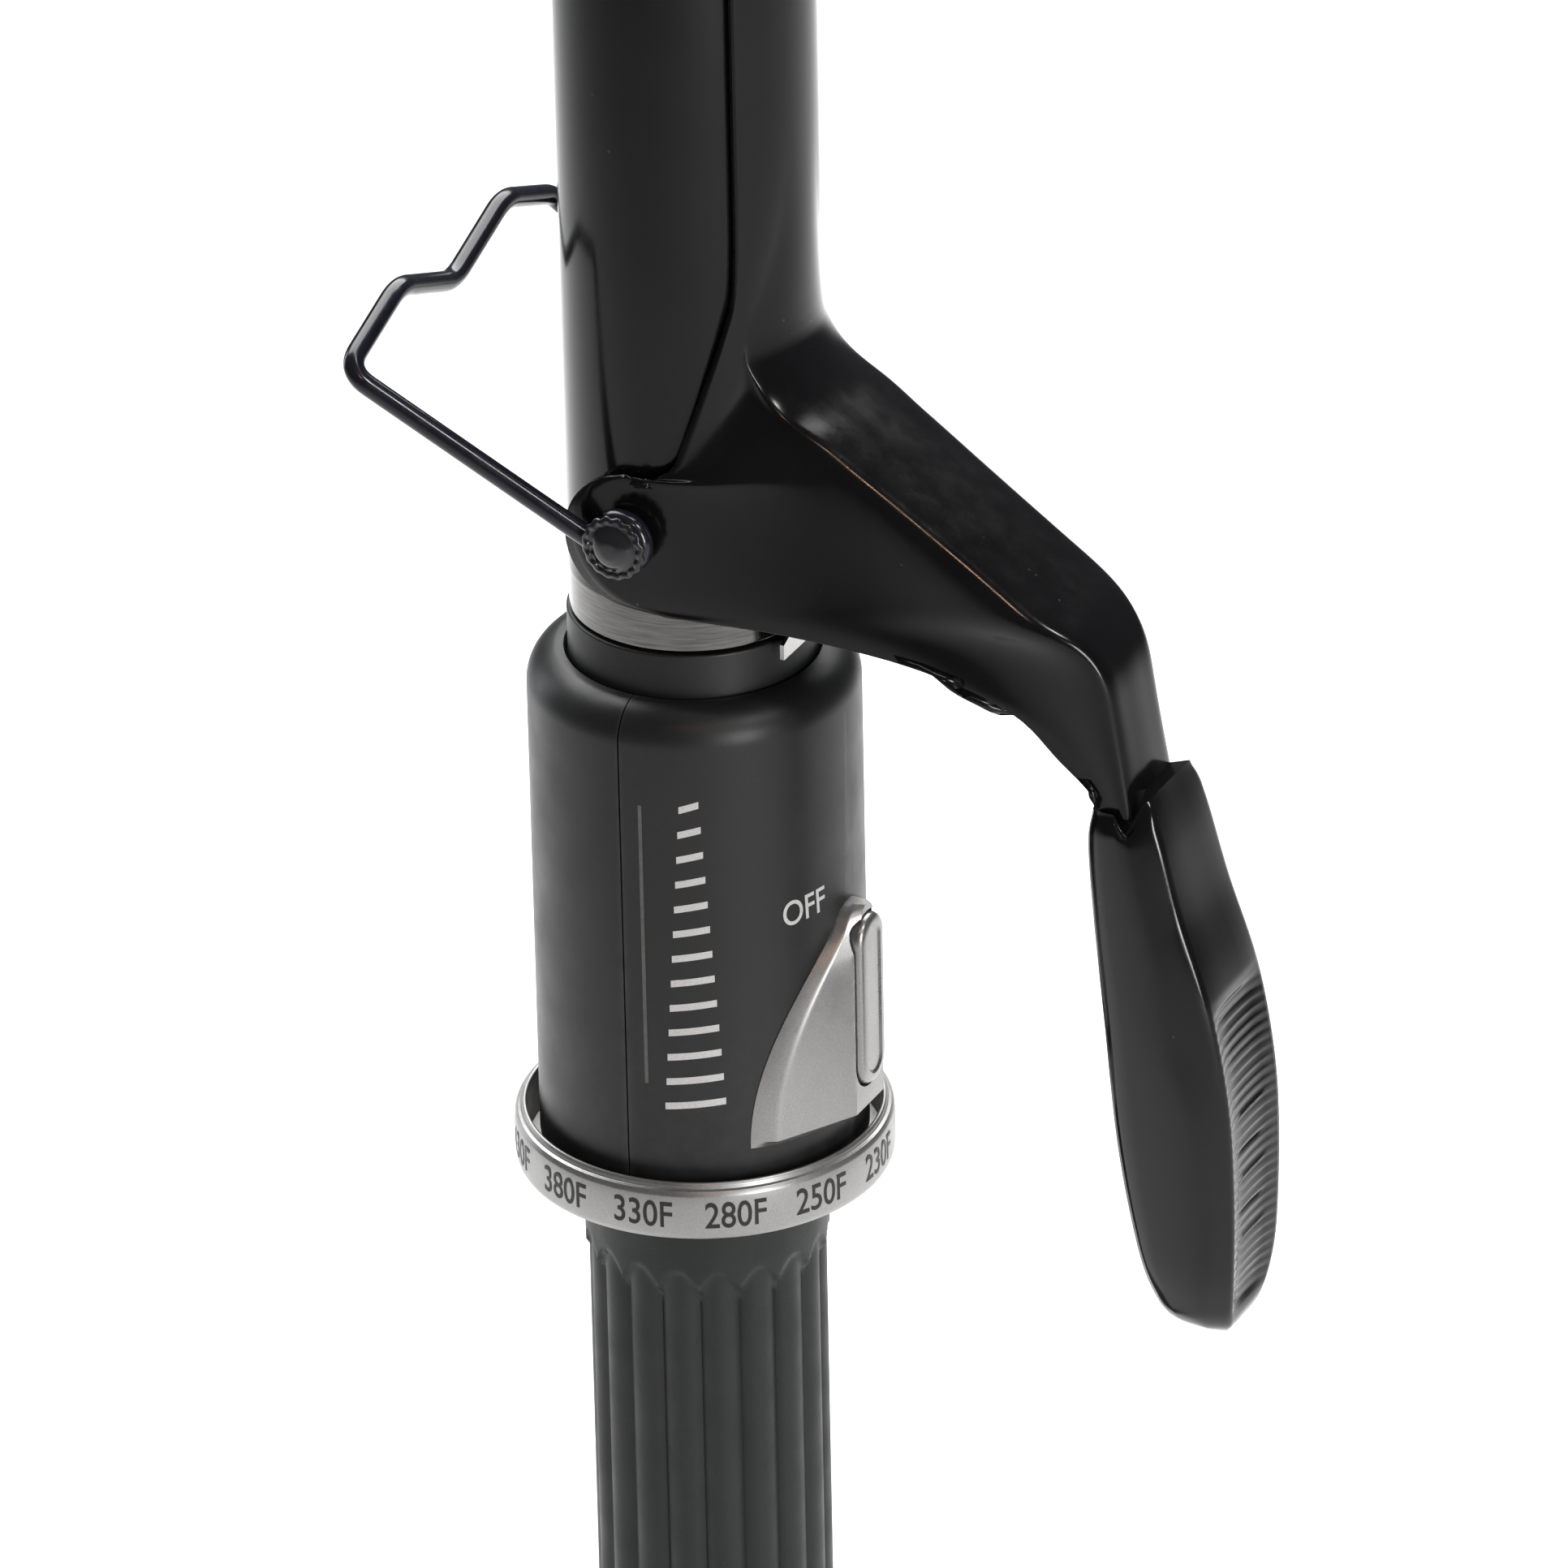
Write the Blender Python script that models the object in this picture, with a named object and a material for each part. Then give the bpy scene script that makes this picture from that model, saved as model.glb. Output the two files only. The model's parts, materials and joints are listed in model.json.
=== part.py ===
"""A spring-clamp curling iron, as its separate pieces.

The iron stands upright: +Z runs up the barrel to the cool tip, +X points to the thumb lever, -X to the
wire stand. The origin is the middle of the hand grip, on the iron's axis. Sizes are in millimetres.
"""

import math

import bmesh
import bpy
from mathutils import Matrix, Vector

MM = 0.001

# Clearances
GAP = 0.3                     # between pieces that touch
RUN = 0.5                     # between pieces that turn or slide past each other

# Handle
GRIP_LENGTH = 100.0
GRIP_RADIUS = 16.3
GRIP_WALL = 2.8
GRIP_COLLAR = 5.5             # smooth band at each end of the grip
FLUTES = 18
FLUTE_DEPTH = 0.9
CORE_WALL = 2.0
END_CAP_HEIGHT = 9.0

# Dial ring
RING_OVERHANG = 3.4           # the ring stands this far outside the housing
RING_HEIGHT = 8.2
RING_WALL = 1.7
RING_FLOOR = 1.6
DIAL_TRAVEL_SPACE = 2.6       # height under the housing for the dial board and its wiper

# Housing
HOUSING_OVERHANG = 5.9        # the housing stands this far outside the barrel
HOUSING_WALL = 1.9
HOUSING_EXPOSED = 67.7        # from the dial ring to the foot of the neck
SHOULDER_RADIUS = 5.2
SCREW_SPACING = 22.0
SCREW_SHANK = 1.4
SCREW_HEAD = 2.7

# Neck and barrel
NECK_HEIGHT = 6.2
NECK_STEP = 0.4               # the neck stands this far outside the barrel
BARREL_RADIUS = 16.0
HOUSING_RADIUS = BARREL_RADIUS + HOUSING_OVERHANG
RING_RADIUS = HOUSING_RADIUS + RING_OVERHANG
BARREL_WALL = 1.0
BARREL_LENGTH = 145.0
PIVOT_HEIGHT = 16.9           # clamp and stand pivot above the barrel's lower end
TIP_RADIUS = 15.4
TIP_HEIGHT = 20.0

# Clamp and lever
SHEET = 1.2
CLAMP_LIFT = 0.5              # between barrel and clamp
CLAMP_LENGTH = 122.0          # from the pivot to the clamp's tip
CLAMP_HALF_ANGLE = 40.0
LEVER_REACH = 62.4            # from the axis to the lever's lower bend
LEVER_DROP = 9.4              # of that bend under the pivot
LEVER_SLOPE = 0.688
LEVER_HALF_WIDTH = 10.6
LEVER_NECK_HALF_WIDTH = 6.8
LEVER_END = (69.0, -46.0)
EAR_RADIUS = 9.4
THUMB_REST_LENGTH = 78.0
THUMB_REST_HALF_WIDTH = 10.0
SPRING_WIDTH = 6.0
SPRING_FOOT = 16.0

# Stand
WIRE_RADIUS = 1.4
STAND_REACH = 33.9
STAND_RISE = 21.9
STAND_HALF_WIDTH = 29.2
STAND_ZIGZAG = 5.6
EYE_RADIUS = 3.1

# Rivets
RIVET_SHANK = 1.4
RIVET_HEAD = 4.6

# Switch
ROCKER_LENGTH = 25.0
ROCKER_WIDTH = 7.0
ROCKER_TOP = 25.5             # from the axis
BEZEL_HALF_ANGLE = 47.0
BEZEL_HEIGHT = 30.9
BEZEL_FRAME = 1.2             # width of the frame round the rocker
BEZEL_RIDGE = 24.6            # from the axis to the bezel's middle
BEZEL_RIM = 1.0               # bezel's edge over the housing

# Cord swivel
SWIVEL_NECK = 6.2
SWIVEL_LENGTH = 13.0
CORD_BORE = 3.6

ROUND = 64                    # sides of a large round piece
FINE = 24                     # sides of a small one

# Levels, from the grip upwards
GRIP_TOP = GRIP_LENGTH / 2
GRIP_BOTTOM = -GRIP_LENGTH / 2
RING_BOTTOM = GRIP_TOP + RUN
RING_TOP = RING_BOTTOM + RING_HEIGHT
HOUSING_BOTTOM = RING_BOTTOM + RING_FLOOR + DIAL_TRAVEL_SPACE
HOUSING_TOP = RING_TOP + HOUSING_EXPOSED
BARREL_BASE = HOUSING_TOP + NECK_HEIGHT
BARREL_TOP = BARREL_BASE + BARREL_LENGTH
PIVOT = BARREL_BASE + PIVOT_HEIGHT

# Radii that follow from the ones above
CORE_RADIUS = GRIP_RADIUS - GRIP_WALL - GAP
CORE_BORE = CORE_RADIUS - CORE_WALL
HOUSING_BORE = HOUSING_RADIUS - HOUSING_WALL
BARREL_BORE = BARREL_RADIUS - BARREL_WALL
NECK_RADIUS = BARREL_RADIUS + NECK_STEP
CLAMP_INNER = BARREL_RADIUS + CLAMP_LIFT
CLAMP_OUTER = CLAMP_INNER + SHEET
EYE_Y = CLAMP_OUTER + GAP + WIRE_RADIUS
HEAD_Y = EYE_Y + WIRE_RADIUS + GAP

FINISHES = {
    "black_enamel": ((0.012, 0.012, 0.013), 0.12, 0.0),
    "gloss_black_plastic": ((0.013, 0.013, 0.014), 0.18, 0.0),
    "matte_black_plastic": ((0.030, 0.030, 0.032), 0.55, 0.0),
    "soft_black": ((0.022, 0.023, 0.025), 0.75, 0.0),
    "satin_silver": ((0.62, 0.61, 0.60), 0.34, 0.9),
    "steel": ((0.56, 0.56, 0.57), 0.3, 1.0),
    "coated_wire": ((0.05, 0.05, 0.075), 0.3, 0.6),
    "aluminium": ((0.75, 0.75, 0.76), 0.4, 1.0),
    "ceramic": ((0.86, 0.85, 0.82), 0.5, 0.0),
    "brass": ((0.75, 0.55, 0.25), 0.35, 1.0),
    "circuit_board": ((0.03, 0.18, 0.07), 0.5, 0.0),
    "component": ((0.05, 0.05, 0.06), 0.5, 0.0),
    "red_lead": ((0.5, 0.03, 0.02), 0.5, 0.0),
    "white_lead": ((0.8, 0.8, 0.78), 0.5, 0.0),
}


# ---------------------------------------------------------------- helpers

def clear_scene():
    for obj in list(bpy.data.objects):
        bpy.data.objects.remove(obj)


def finish(name):
    found = bpy.data.materials.get(name)
    if found:
        return found
    colour, roughness, metallic = FINISHES[name]
    made = bpy.data.materials.new(name)
    made.use_nodes = True
    shader = made.node_tree.nodes["Principled BSDF"]
    shader.inputs["Base Color"].default_value = (*colour, 1.0)
    shader.inputs["Roughness"].default_value = roughness
    shader.inputs["Metallic"].default_value = metallic
    return made


def place(name, mesh, material):
    """A mesh whose points are in millimetres becomes an object in metres."""
    mesh.transform(Matrix.Scale(MM, 4))
    mesh.shade_smooth()
    mesh.set_sharp_from_angle(angle=math.radians(35))
    obj = bpy.data.objects.new(name, mesh)
    bpy.context.scene.collection.objects.link(obj)
    if material:
        mesh.materials.append(finish(material))
    return obj


def from_bmesh(name, bm, material):
    bmesh.ops.recalc_face_normals(bm, faces=bm.faces)
    mesh = bpy.data.meshes.new(name)
    bm.to_mesh(mesh)
    bm.free()
    return place(name, mesh, material)


def turned(name, profile, material=None, sides=ROUND, sweep=360.0, start=0.0, along="Z"):
    """A closed outline of (radius, height) points turned about an axis through the origin."""
    bm = bmesh.new()
    whole = sweep >= 360.0
    count = sides if whole else sides + 1
    rings = []
    for i in range(count):
        angle = math.radians(start + sweep * i / sides)
        c, s = math.cos(angle), math.sin(angle)
        rings.append([bm.verts.new((r * c, r * s, z)) for r, z in profile])
    steps = sides if whole else sides
    for i in range(steps):
        a, b = rings[i], rings[(i + 1) % count]
        for j in range(len(profile)):
            k = (j + 1) % len(profile)
            bm.faces.new((a[j], b[j], b[k], a[k]))
    if not whole:
        bm.faces.new(rings[0])
        bm.faces.new(list(reversed(rings[-1])))
    bmesh.ops.remove_doubles(bm, verts=bm.verts, dist=1e-5)
    if along == "Y":
        bmesh.ops.transform(bm, matrix=Matrix.Rotation(math.radians(-90), 4, "X"), verts=bm.verts)
    if along == "X":
        bmesh.ops.transform(bm, matrix=Matrix.Rotation(math.radians(90), 4, "Y"), verts=bm.verts)
    return from_bmesh(name, bm, material)


def rod(name, radius, low, high, material=None, sides=FINE, along="Z"):
    return turned(name, [(0, low), (radius, low), (radius, high), (0, high)], material, sides, along=along)


def box(name, low, high, material=None, bevel=0.0):
    bm = bmesh.new()
    size = [h - l for l, h in zip(low, high)]
    middle = [(h + l) / 2 for l, h in zip(low, high)]
    bmesh.ops.create_cube(bm, size=1.0)
    bmesh.ops.scale(bm, vec=size, verts=bm.verts)
    bmesh.ops.translate(bm, vec=middle, verts=bm.verts)
    if bevel:
        bmesh.ops.bevel(bm, geom=bm.edges, offset=bevel, segments=1, affect="EDGES")
    return from_bmesh(name, bm, material)


def prism(name, outline, low, high, material=None, along="X"):
    """An outline swept straight: its two coordinates are (y, z) along X and (x, z) along Y."""
    bm = bmesh.new()
    ends = []
    for level in (low, high):
        if along == "X":
            ends.append([bm.verts.new((level, p, q)) for p, q in outline])
        else:
            ends.append([bm.verts.new((p, level, q)) for p, q in outline])
    bm.faces.new(ends[0])
    bm.faces.new(list(reversed(ends[1])))
    for i in range(len(outline)):
        k = (i + 1) % len(outline)
        bm.faces.new((ends[0][i], ends[1][i], ends[1][k], ends[0][k]))
    return from_bmesh(name, bm, material)


def tube(name, points, radius, material):
    """A round wire or lead along the points."""
    curve = bpy.data.curves.new(name, "CURVE")
    curve.dimensions = "3D"
    curve.bevel_depth = radius * MM
    curve.bevel_resolution = 2
    curve.use_fill_caps = True
    spline = curve.splines.new("POLY")
    spline.points.add(len(points) - 1)
    for target, point in zip(spline.points, points):
        target.co = (*[c * MM for c in point], 1.0)
    obj = bpy.data.objects.new(name, curve)
    bpy.context.scene.collection.objects.link(obj)
    curve.materials.append(finish(material))
    return obj


def as_tool(obj):
    obj.hide_render = True
    obj.display_type = "WIRE"
    return obj


def shape(target, tool, operation):
    step = target.modifiers.new(operation.lower(), "BOOLEAN")
    step.operation = operation
    step.solver = "EXACT"
    step.object = as_tool(tool)


def cut(target, tool):
    shape(target, tool, "DIFFERENCE")


def join(target, tool):
    shape(target, tool, "UNION")


def keep(target, tool):
    shape(target, tool, "INTERSECT")


def move(obj, x=0.0, y=0.0, z=0.0):
    obj.location = (x * MM, y * MM, z * MM)
    return obj


def axis_at(name, x, y, z):
    """An empty on a joint's axis, which the moving pieces hang from."""
    empty = bpy.data.objects.new(name, None)
    empty.empty_display_size = 0.01
    empty.location = (x * MM, y * MM, z * MM)
    bpy.context.scene.collection.objects.link(empty)
    return empty


def hang(empty, *pieces):
    bpy.context.view_layer.update()
    for piece in pieces:
        piece.parent = empty
        piece.matrix_parent_inverse = empty.matrix_world.inverted()


def arc(centre, radius, start, end, steps):
    """Points on an arc, with angles in degrees."""
    angles = [math.radians(start + (end - start) * i / steps) for i in range(steps + 1)]
    return [(centre[0] + radius * math.cos(a), centre[1] + radius * math.sin(a)) for a in angles]


def smooth(t):
    t = min(max(t, 0.0), 1.0)
    return t * t * (3 - 2 * t)


def through(points, count):
    """Points evenly along a smooth curve through a few points."""
    ends = [2 * Vector(points[0]) - Vector(points[1])]
    ends += [Vector(p) for p in points]
    ends += [2 * Vector(points[-1]) - Vector(points[-2])]
    dense = []
    for i in range(1, len(ends) - 2):
        a, b, c, d = ends[i - 1:i + 3]
        for k in range(12):
            t = k / 12
            dense.append(0.5 * (2 * b + (c - a) * t + (2 * a - 5 * b + 4 * c - d) * t ** 2
                                + (3 * b - a - 3 * c + d) * t ** 3))
    dense.append(ends[-2])
    return evenly(dense, count)


def evenly(points, count):
    """Points at equal distances along a chain of points."""
    points = [Vector(p) for p in points]
    reach = [0.0]
    for a, b in zip(points, points[1:]):
        reach.append(reach[-1] + (b - a).length)
    found = []
    k = 0
    for i in range(count):
        want = reach[-1] * i / (count - 1)
        while k < len(points) - 2 and reach[k + 1] < want:
            k += 1
        span = reach[k + 1] - reach[k]
        found.append(points[k].lerp(points[k + 1], (want - reach[k]) / span if span else 0.0))
    return found


# ---------------------------------------------------------------- barrel

def barrel():
    rim = 0.3
    tube_ = turned("barrel_tube", [
        (BARREL_BORE, BARREL_BASE), (BARREL_RADIUS - rim, BARREL_BASE),
        (BARREL_RADIUS, BARREL_BASE + rim), (BARREL_RADIUS, BARREL_TOP - rim),
        (BARREL_RADIUS - rim, BARREL_TOP), (BARREL_BORE, BARREL_TOP),
    ], "black_enamel")
    hole = rod("rivet_holes", RIVET_SHANK + GAP, -2 * BARREL_RADIUS, 2 * BARREL_RADIUS, along="Y")
    cut(tube_, move(hole, z=PIVOT))


def cool_tip():
    insulator_top = BARREL_TOP + GAP + 2.0
    plug = turned("tip_insulator", [
        (2.2, BARREL_TOP - 10), (BARREL_BORE - GAP, BARREL_TOP - 10), (BARREL_BORE - GAP, BARREL_TOP + GAP),
        (BARREL_RADIUS - 0.3, BARREL_TOP + GAP), (BARREL_RADIUS - 0.3, insulator_top), (2.2, insulator_top),
    ], "ceramic", 48)
    base = insulator_top + GAP
    top = base + TIP_HEIGHT
    round_edge = arc((TIP_RADIUS - 4, top - 4), 4, 0, 90, 5)
    turned("cool_tip", [(2.2, base), (TIP_RADIUS, base), (TIP_RADIUS, base + 1)]
           + round_edge + [(3.6, top), (3.6, top - 12), (2.2, top - 12)], "gloss_black_plastic", 48)
    head = top - 12 + GAP
    turned("tip_screw", [
        (0, BARREL_TOP - 8), (2.2 - GAP, BARREL_TOP - 8), (2.2 - GAP, head), (3.6 - GAP, head),
        (3.6 - GAP, head + 2), (0, head + 2),
    ], "steel", FINE)
    return plug


def heater():
    """A flat ceramic heater between two half-round aluminium blocks that carry its heat to the barrel."""
    low = PIVOT + 16
    high = BARREL_TOP - 14
    radius = BARREL_BORE - GAP
    half_plate = 1.1
    face = half_plate + GAP
    edge = math.degrees(math.acos(face / radius))
    for name, turn in (("heater_block_front", 0), ("heater_block_rear", 180)):
        bm = bmesh.new()
        outline = arc((0, 0), radius, turn - edge, turn + edge, 18)
        ends = [[bm.verts.new((x, y, z)) for x, y in outline] for z in (low, high)]
        bm.faces.new(list(reversed(ends[0])))
        bm.faces.new(ends[1])
        for i in range(len(outline)):
            k = (i + 1) % len(outline)
            bm.faces.new((ends[0][i], ends[0][k], ends[1][k], ends[1][i]))
        from_bmesh(name, bm, "aluminium")
    box("ceramic_heater", (-half_plate, -9, low - 1), (half_plate, 9, high - 2), "ceramic")
    turned("thermal_fuse", [(0, PIVOT + 3), (2, PIVOT + 3), (2, low - GAP - 0.7), (0, low - GAP - 0.7)],
           "aluminium", 16).location.x = -6 * MM
    turned("temperature_sensor", [(0, PIVOT + 7), (1.3, PIVOT + 8), (1.3, low - 2), (0, low - 1)],
           "component", 12).location.x = 6 * MM


# ---------------------------------------------------------------- housing and neck

def neck_collar():
    """Insulating collar: a spigot inside the barrel, the neck that shows, and a flange in the housing."""
    bore = CORE_BORE
    foot = HOUSING_TOP - HOUSING_WALL - GAP
    turned("neck_collar", [
        (bore, foot - 3), (NECK_RADIUS + 1.4, foot - 3), (NECK_RADIUS + 1.4, foot),
        (NECK_RADIUS, foot), (NECK_RADIUS, BARREL_BASE - GAP - 0.3), (NECK_RADIUS - 0.3, BARREL_BASE - GAP),
        (BARREL_BORE - GAP, BARREL_BASE - GAP), (BARREL_BORE - GAP, BARREL_BASE + 10), (bore, BARREL_BASE + 10),
    ], "matte_black_plastic")


def housing_outline():
    """Outside of the housing, with its rounded shoulder, as a solid's half section."""
    r = HOUSING_RADIUS
    shoulder = arc((r - SHOULDER_RADIUS, HOUSING_TOP - SHOULDER_RADIUS), SHOULDER_RADIUS, 78, 0, 6)
    return ([(0, HOUSING_TOP)] + shoulder
            + [(r, HOUSING_BOTTOM + 0.4), (r - 0.4, HOUSING_BOTTOM), (0, HOUSING_BOTTOM)])


def housing_hollow():
    """Room inside the housing, open at the neck above and at the core tube below."""
    b = HOUSING_BORE
    inside = SHOULDER_RADIUS - HOUSING_WALL
    ceiling = HOUSING_TOP - HOUSING_WALL
    floor = HOUSING_BOTTOM + 2.0
    core_hole, neck_hole = CORE_RADIUS + GAP, NECK_RADIUS + GAP
    inner = arc((b - inside, ceiling - inside), inside, 0, 84, 4)
    return ([(0, HOUSING_BOTTOM - 2), (core_hole, HOUSING_BOTTOM - 2), (core_hole, floor), (b, floor)] + inner
            + [(neck_hole, ceiling), (neck_hole, HOUSING_TOP + 2), (0, HOUSING_TOP + 2)])


def screw_heights():
    """(y, z) of the two screws that hold the housing's halves together."""
    return [(side * SCREW_SPACING / 2, HOUSING_TOP - 12.0) for side in (-1, 1)]


def housing():
    far = 2 * HOUSING_RADIUS
    halves = {}
    for name, low, high, post in (("front", GAP / 2, far, 3.2), ("rear", -far, -GAP / 2, 4.2)):
        half = turned("housing_" + name, housing_outline(), "matte_black_plastic", 56)
        hollow = turned(name + "_hollow", housing_hollow(), None, 56)
        for i, (y, z) in enumerate(screw_heights()):
            cut(hollow, move(rod(f"{name}_post_{i}", post, -far, far, None, 16, "X"), y=y, z=z))
        cut(half, hollow)
        keep(half, box(name + "_side", (low, -far, HOUSING_BOTTOM - 5), (high, far, HOUSING_TOP + 5)))
        halves[name] = half
    reach = ROCKER_LENGTH / 2 + 1.2
    slot = box("switch_opening", (BARREL_RADIUS - 2, -ROCKER_WIDTH / 2 - RUN, switch_middle() - reach),
               (far, ROCKER_WIDTH / 2 + RUN, switch_middle() + reach))
    cut(halves["front"], slot)
    for i, (y, z) in enumerate(screw_heights()):
        pilot = rod(f"front_pilot_{i}", SCREW_SHANK + GAP, -1, 12, None, 16, "X")
        cut(halves["front"], move(pilot, y=y, z=z))
        sleeve = turned(f"rear_hole_{i}", [
            (0, -far), (SCREW_HEAD + GAP, -far), (SCREW_HEAD + GAP, -8), (SCREW_SHANK + GAP, -8),
            (SCREW_SHANK + GAP, 1), (0, 1)], None, 16, along="X")
        cut(halves["rear"], move(sleeve, y=y, z=z))
        screw = turned(f"housing_screw_{i + 1}", [
            (0, -10), (SCREW_HEAD, -10), (SCREW_HEAD, -8 - GAP), (SCREW_SHANK, -8 - GAP), (SCREW_SHANK, 11), (0, 11),
        ], "steel", 16, along="X")
        move(screw, y=y, z=z)


# ---------------------------------------------------------------- switch

def switch_middle():
    return RING_TOP + 20.2


def pill(half_length, half_width, steps=8):
    """A slot outline with round ends, as (y, z) points about its middle."""
    reach = half_length - half_width
    top = arc((0, reach), half_width, 0, 180, steps)
    bottom = arc((0, -reach), half_width, 180, 360, steps)
    return top + bottom


def rocker():
    middle = switch_middle()
    outline = [(y, z + middle) for y, z in pill(ROCKER_LENGTH / 2, ROCKER_WIDTH / 2)]
    bm = bmesh.new()
    levels = ((HOUSING_BORE - 1.5, 1.0), (ROCKER_TOP - 0.8, 1.0), (ROCKER_TOP - 0.2, 0.93), (ROCKER_TOP, 0.78))
    rings = []
    for x, scale in levels:
        rings.append([bm.verts.new((x, y * scale, middle + (z - middle) * (1 - (1 - scale) * 0.2)))
                      for y, z in outline])
    bm.faces.new(rings[0])
    bm.faces.new(list(reversed(rings[-1])))
    for a, b in zip(rings, rings[1:]):
        for i in range(len(outline)):
            k = (i + 1) % len(outline)
            bm.faces.new((a[i], b[i], b[k], a[k]))
    piece = from_bmesh("switch_rocker", bm, "satin_silver")
    hang(axis_at("rocker_axis", HOUSING_BORE - 2.5, 0, middle), piece)


def switch_body():
    middle = switch_middle()
    outer = HOUSING_BORE - 4.6
    box("switch_body", (outer - 9, -6, middle - 13), (outer, 6, middle + 13), "component", 0.5)


def bezel_reach(z):
    """Half angle of the bezel at a height: a pointed arch, whose point is the round top of the frame."""
    foot, top = bezel_ends()
    arch = BEZEL_HALF_ANGLE * (1 - ((z - foot) / (top - foot)) ** 2) ** 0.85
    half_width = ROCKER_WIDTH / 2 + RUN + BEZEL_FRAME
    centre = top - half_width
    frame = math.sqrt(half_width ** 2 - max(z - centre, 0) ** 2)
    return max(arch, math.degrees(math.asin(frame / BEZEL_RIDGE)))


def bezel_ends():
    top = switch_middle() + ROCKER_LENGTH / 2 + RUN + BEZEL_FRAME
    return top - BEZEL_HEIGHT, top


def bezel_point(angle, edge):
    """Place on the bezel's face: a low rim that follows the housing, then flat facets up to the ridge."""
    ridge_y = ROCKER_WIDTH / 2 + RUN
    rim = HOUSING_RADIUS + GAP + BEZEL_RIM
    if abs(angle) >= edge - 1e-6:
        return rim
    a, e = math.radians(abs(angle)), math.radians(edge)
    start = Vector((rim * math.cos(e), rim * math.sin(e)))
    end = Vector((BEZEL_RIDGE, min(ridge_y, start.y * 0.6)))
    side = end - start
    ray = Vector((math.cos(a), math.sin(a)))
    cross = ray.x * side.y - ray.y * side.x
    r = (start.x * side.y - start.y * side.x) / cross
    if r * math.sin(a) < end.y:
        r = BEZEL_RIDGE / math.cos(a)
    return max(r, HOUSING_RADIUS + GAP + 0.7)


def bezel():
    """Pointed-arch plate round the rocker, standing on the housing's wall."""
    foot, top = bezel_ends()
    rows, columns = 14, 16
    under = HOUSING_RADIUS + GAP
    bm = bmesh.new()
    outer, inner = [], []
    for i in range(rows + 1):
        z = foot + (i / rows) ** 0.8 * (BEZEL_HEIGHT - 0.15)
        edge = bezel_reach(z)
        line_out, line_in = [], []
        for j in range(columns + 1):
            angle = edge * (2 * j / columns - 1)
            c, s = math.cos(math.radians(angle)), math.sin(math.radians(angle))
            r = bezel_point(angle, edge)
            line_out.append(bm.verts.new((r * c, r * s, z)))
            line_in.append(bm.verts.new((under * c, under * s, z)))
        outer.append(line_out)
        inner.append(line_in)
    for i in range(rows):
        for j in range(columns):
            bm.faces.new((outer[i][j], outer[i][j + 1], outer[i + 1][j + 1], outer[i + 1][j]))
            bm.faces.new((inner[i][j], inner[i + 1][j], inner[i + 1][j + 1], inner[i][j + 1]))
        bm.faces.new((outer[i][0], outer[i + 1][0], inner[i + 1][0], inner[i][0]))
        bm.faces.new((outer[i][-1], inner[i][-1], inner[i + 1][-1], outer[i + 1][-1]))
    for j in range(columns):
        bm.faces.new((outer[0][j], inner[0][j], inner[0][j + 1], outer[0][j + 1]))
        bm.faces.new((outer[-1][j], outer[-1][j + 1], inner[-1][j + 1], inner[-1][j]))
    plate = from_bmesh("switch_bezel", bm, "satin_silver")
    slot = [(y, z + switch_middle()) for y, z in pill(ROCKER_LENGTH / 2 + RUN, ROCKER_WIDTH / 2 + RUN)]
    cut(plate, prism("bezel_slot", slot, HOUSING_BORE - 1, 2 * HOUSING_RADIUS))


# ---------------------------------------------------------------- dial

def dial():
    lip_outer, lip_inner = RING_RADIUS - 1.0, RING_RADIUS - RING_WALL - 0.2
    web_hole = CORE_RADIUS + RUN
    ring = turned("dial_ring", [
        (web_hole, RING_BOTTOM), (RING_RADIUS - 0.5, RING_BOTTOM), (RING_RADIUS - 0.1, RING_BOTTOM + 0.5),
        (RING_RADIUS, RING_BOTTOM + RING_HEIGHT * 0.45), (RING_RADIUS - 0.25, RING_TOP - 1.3),
        (RING_RADIUS - 0.6, RING_TOP - 0.5), (lip_outer, RING_TOP), (lip_inner, RING_TOP),
        (lip_inner, RING_TOP - 0.8), (RING_RADIUS - RING_WALL, RING_TOP - 1.2),
        (RING_RADIUS - RING_WALL, RING_BOTTOM + RING_FLOOR), (web_hole, RING_BOTTOM + RING_FLOOR),
    ], "satin_silver")
    board_top = HOUSING_BOTTOM - GAP
    turned("dial_board", [
        (CORE_RADIUS + GAP, board_top - 1.0), (HOUSING_RADIUS - 2, board_top - 1.0),
        (HOUSING_RADIUS - 2, board_top), (CORE_RADIUS + GAP, board_top),
    ], "circuit_board", 48)
    wiper_low = RING_BOTTOM + RING_FLOOR + GAP
    finger = turned("dial_wiper", [
        (CORE_RADIUS + 2.0, wiper_low), (CORE_RADIUS + 6.0, wiper_low),
        (CORE_RADIUS + 6.0, board_top - 1.0 - GAP), (CORE_RADIUS + 2.0, board_top - 1.0 - GAP),
    ], "brass", 6, 40.0, 160.0)
    hang(axis_at("dial_axis", 0, 0, RING_BOTTOM), ring, finger)


# ---------------------------------------------------------------- handle

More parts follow.
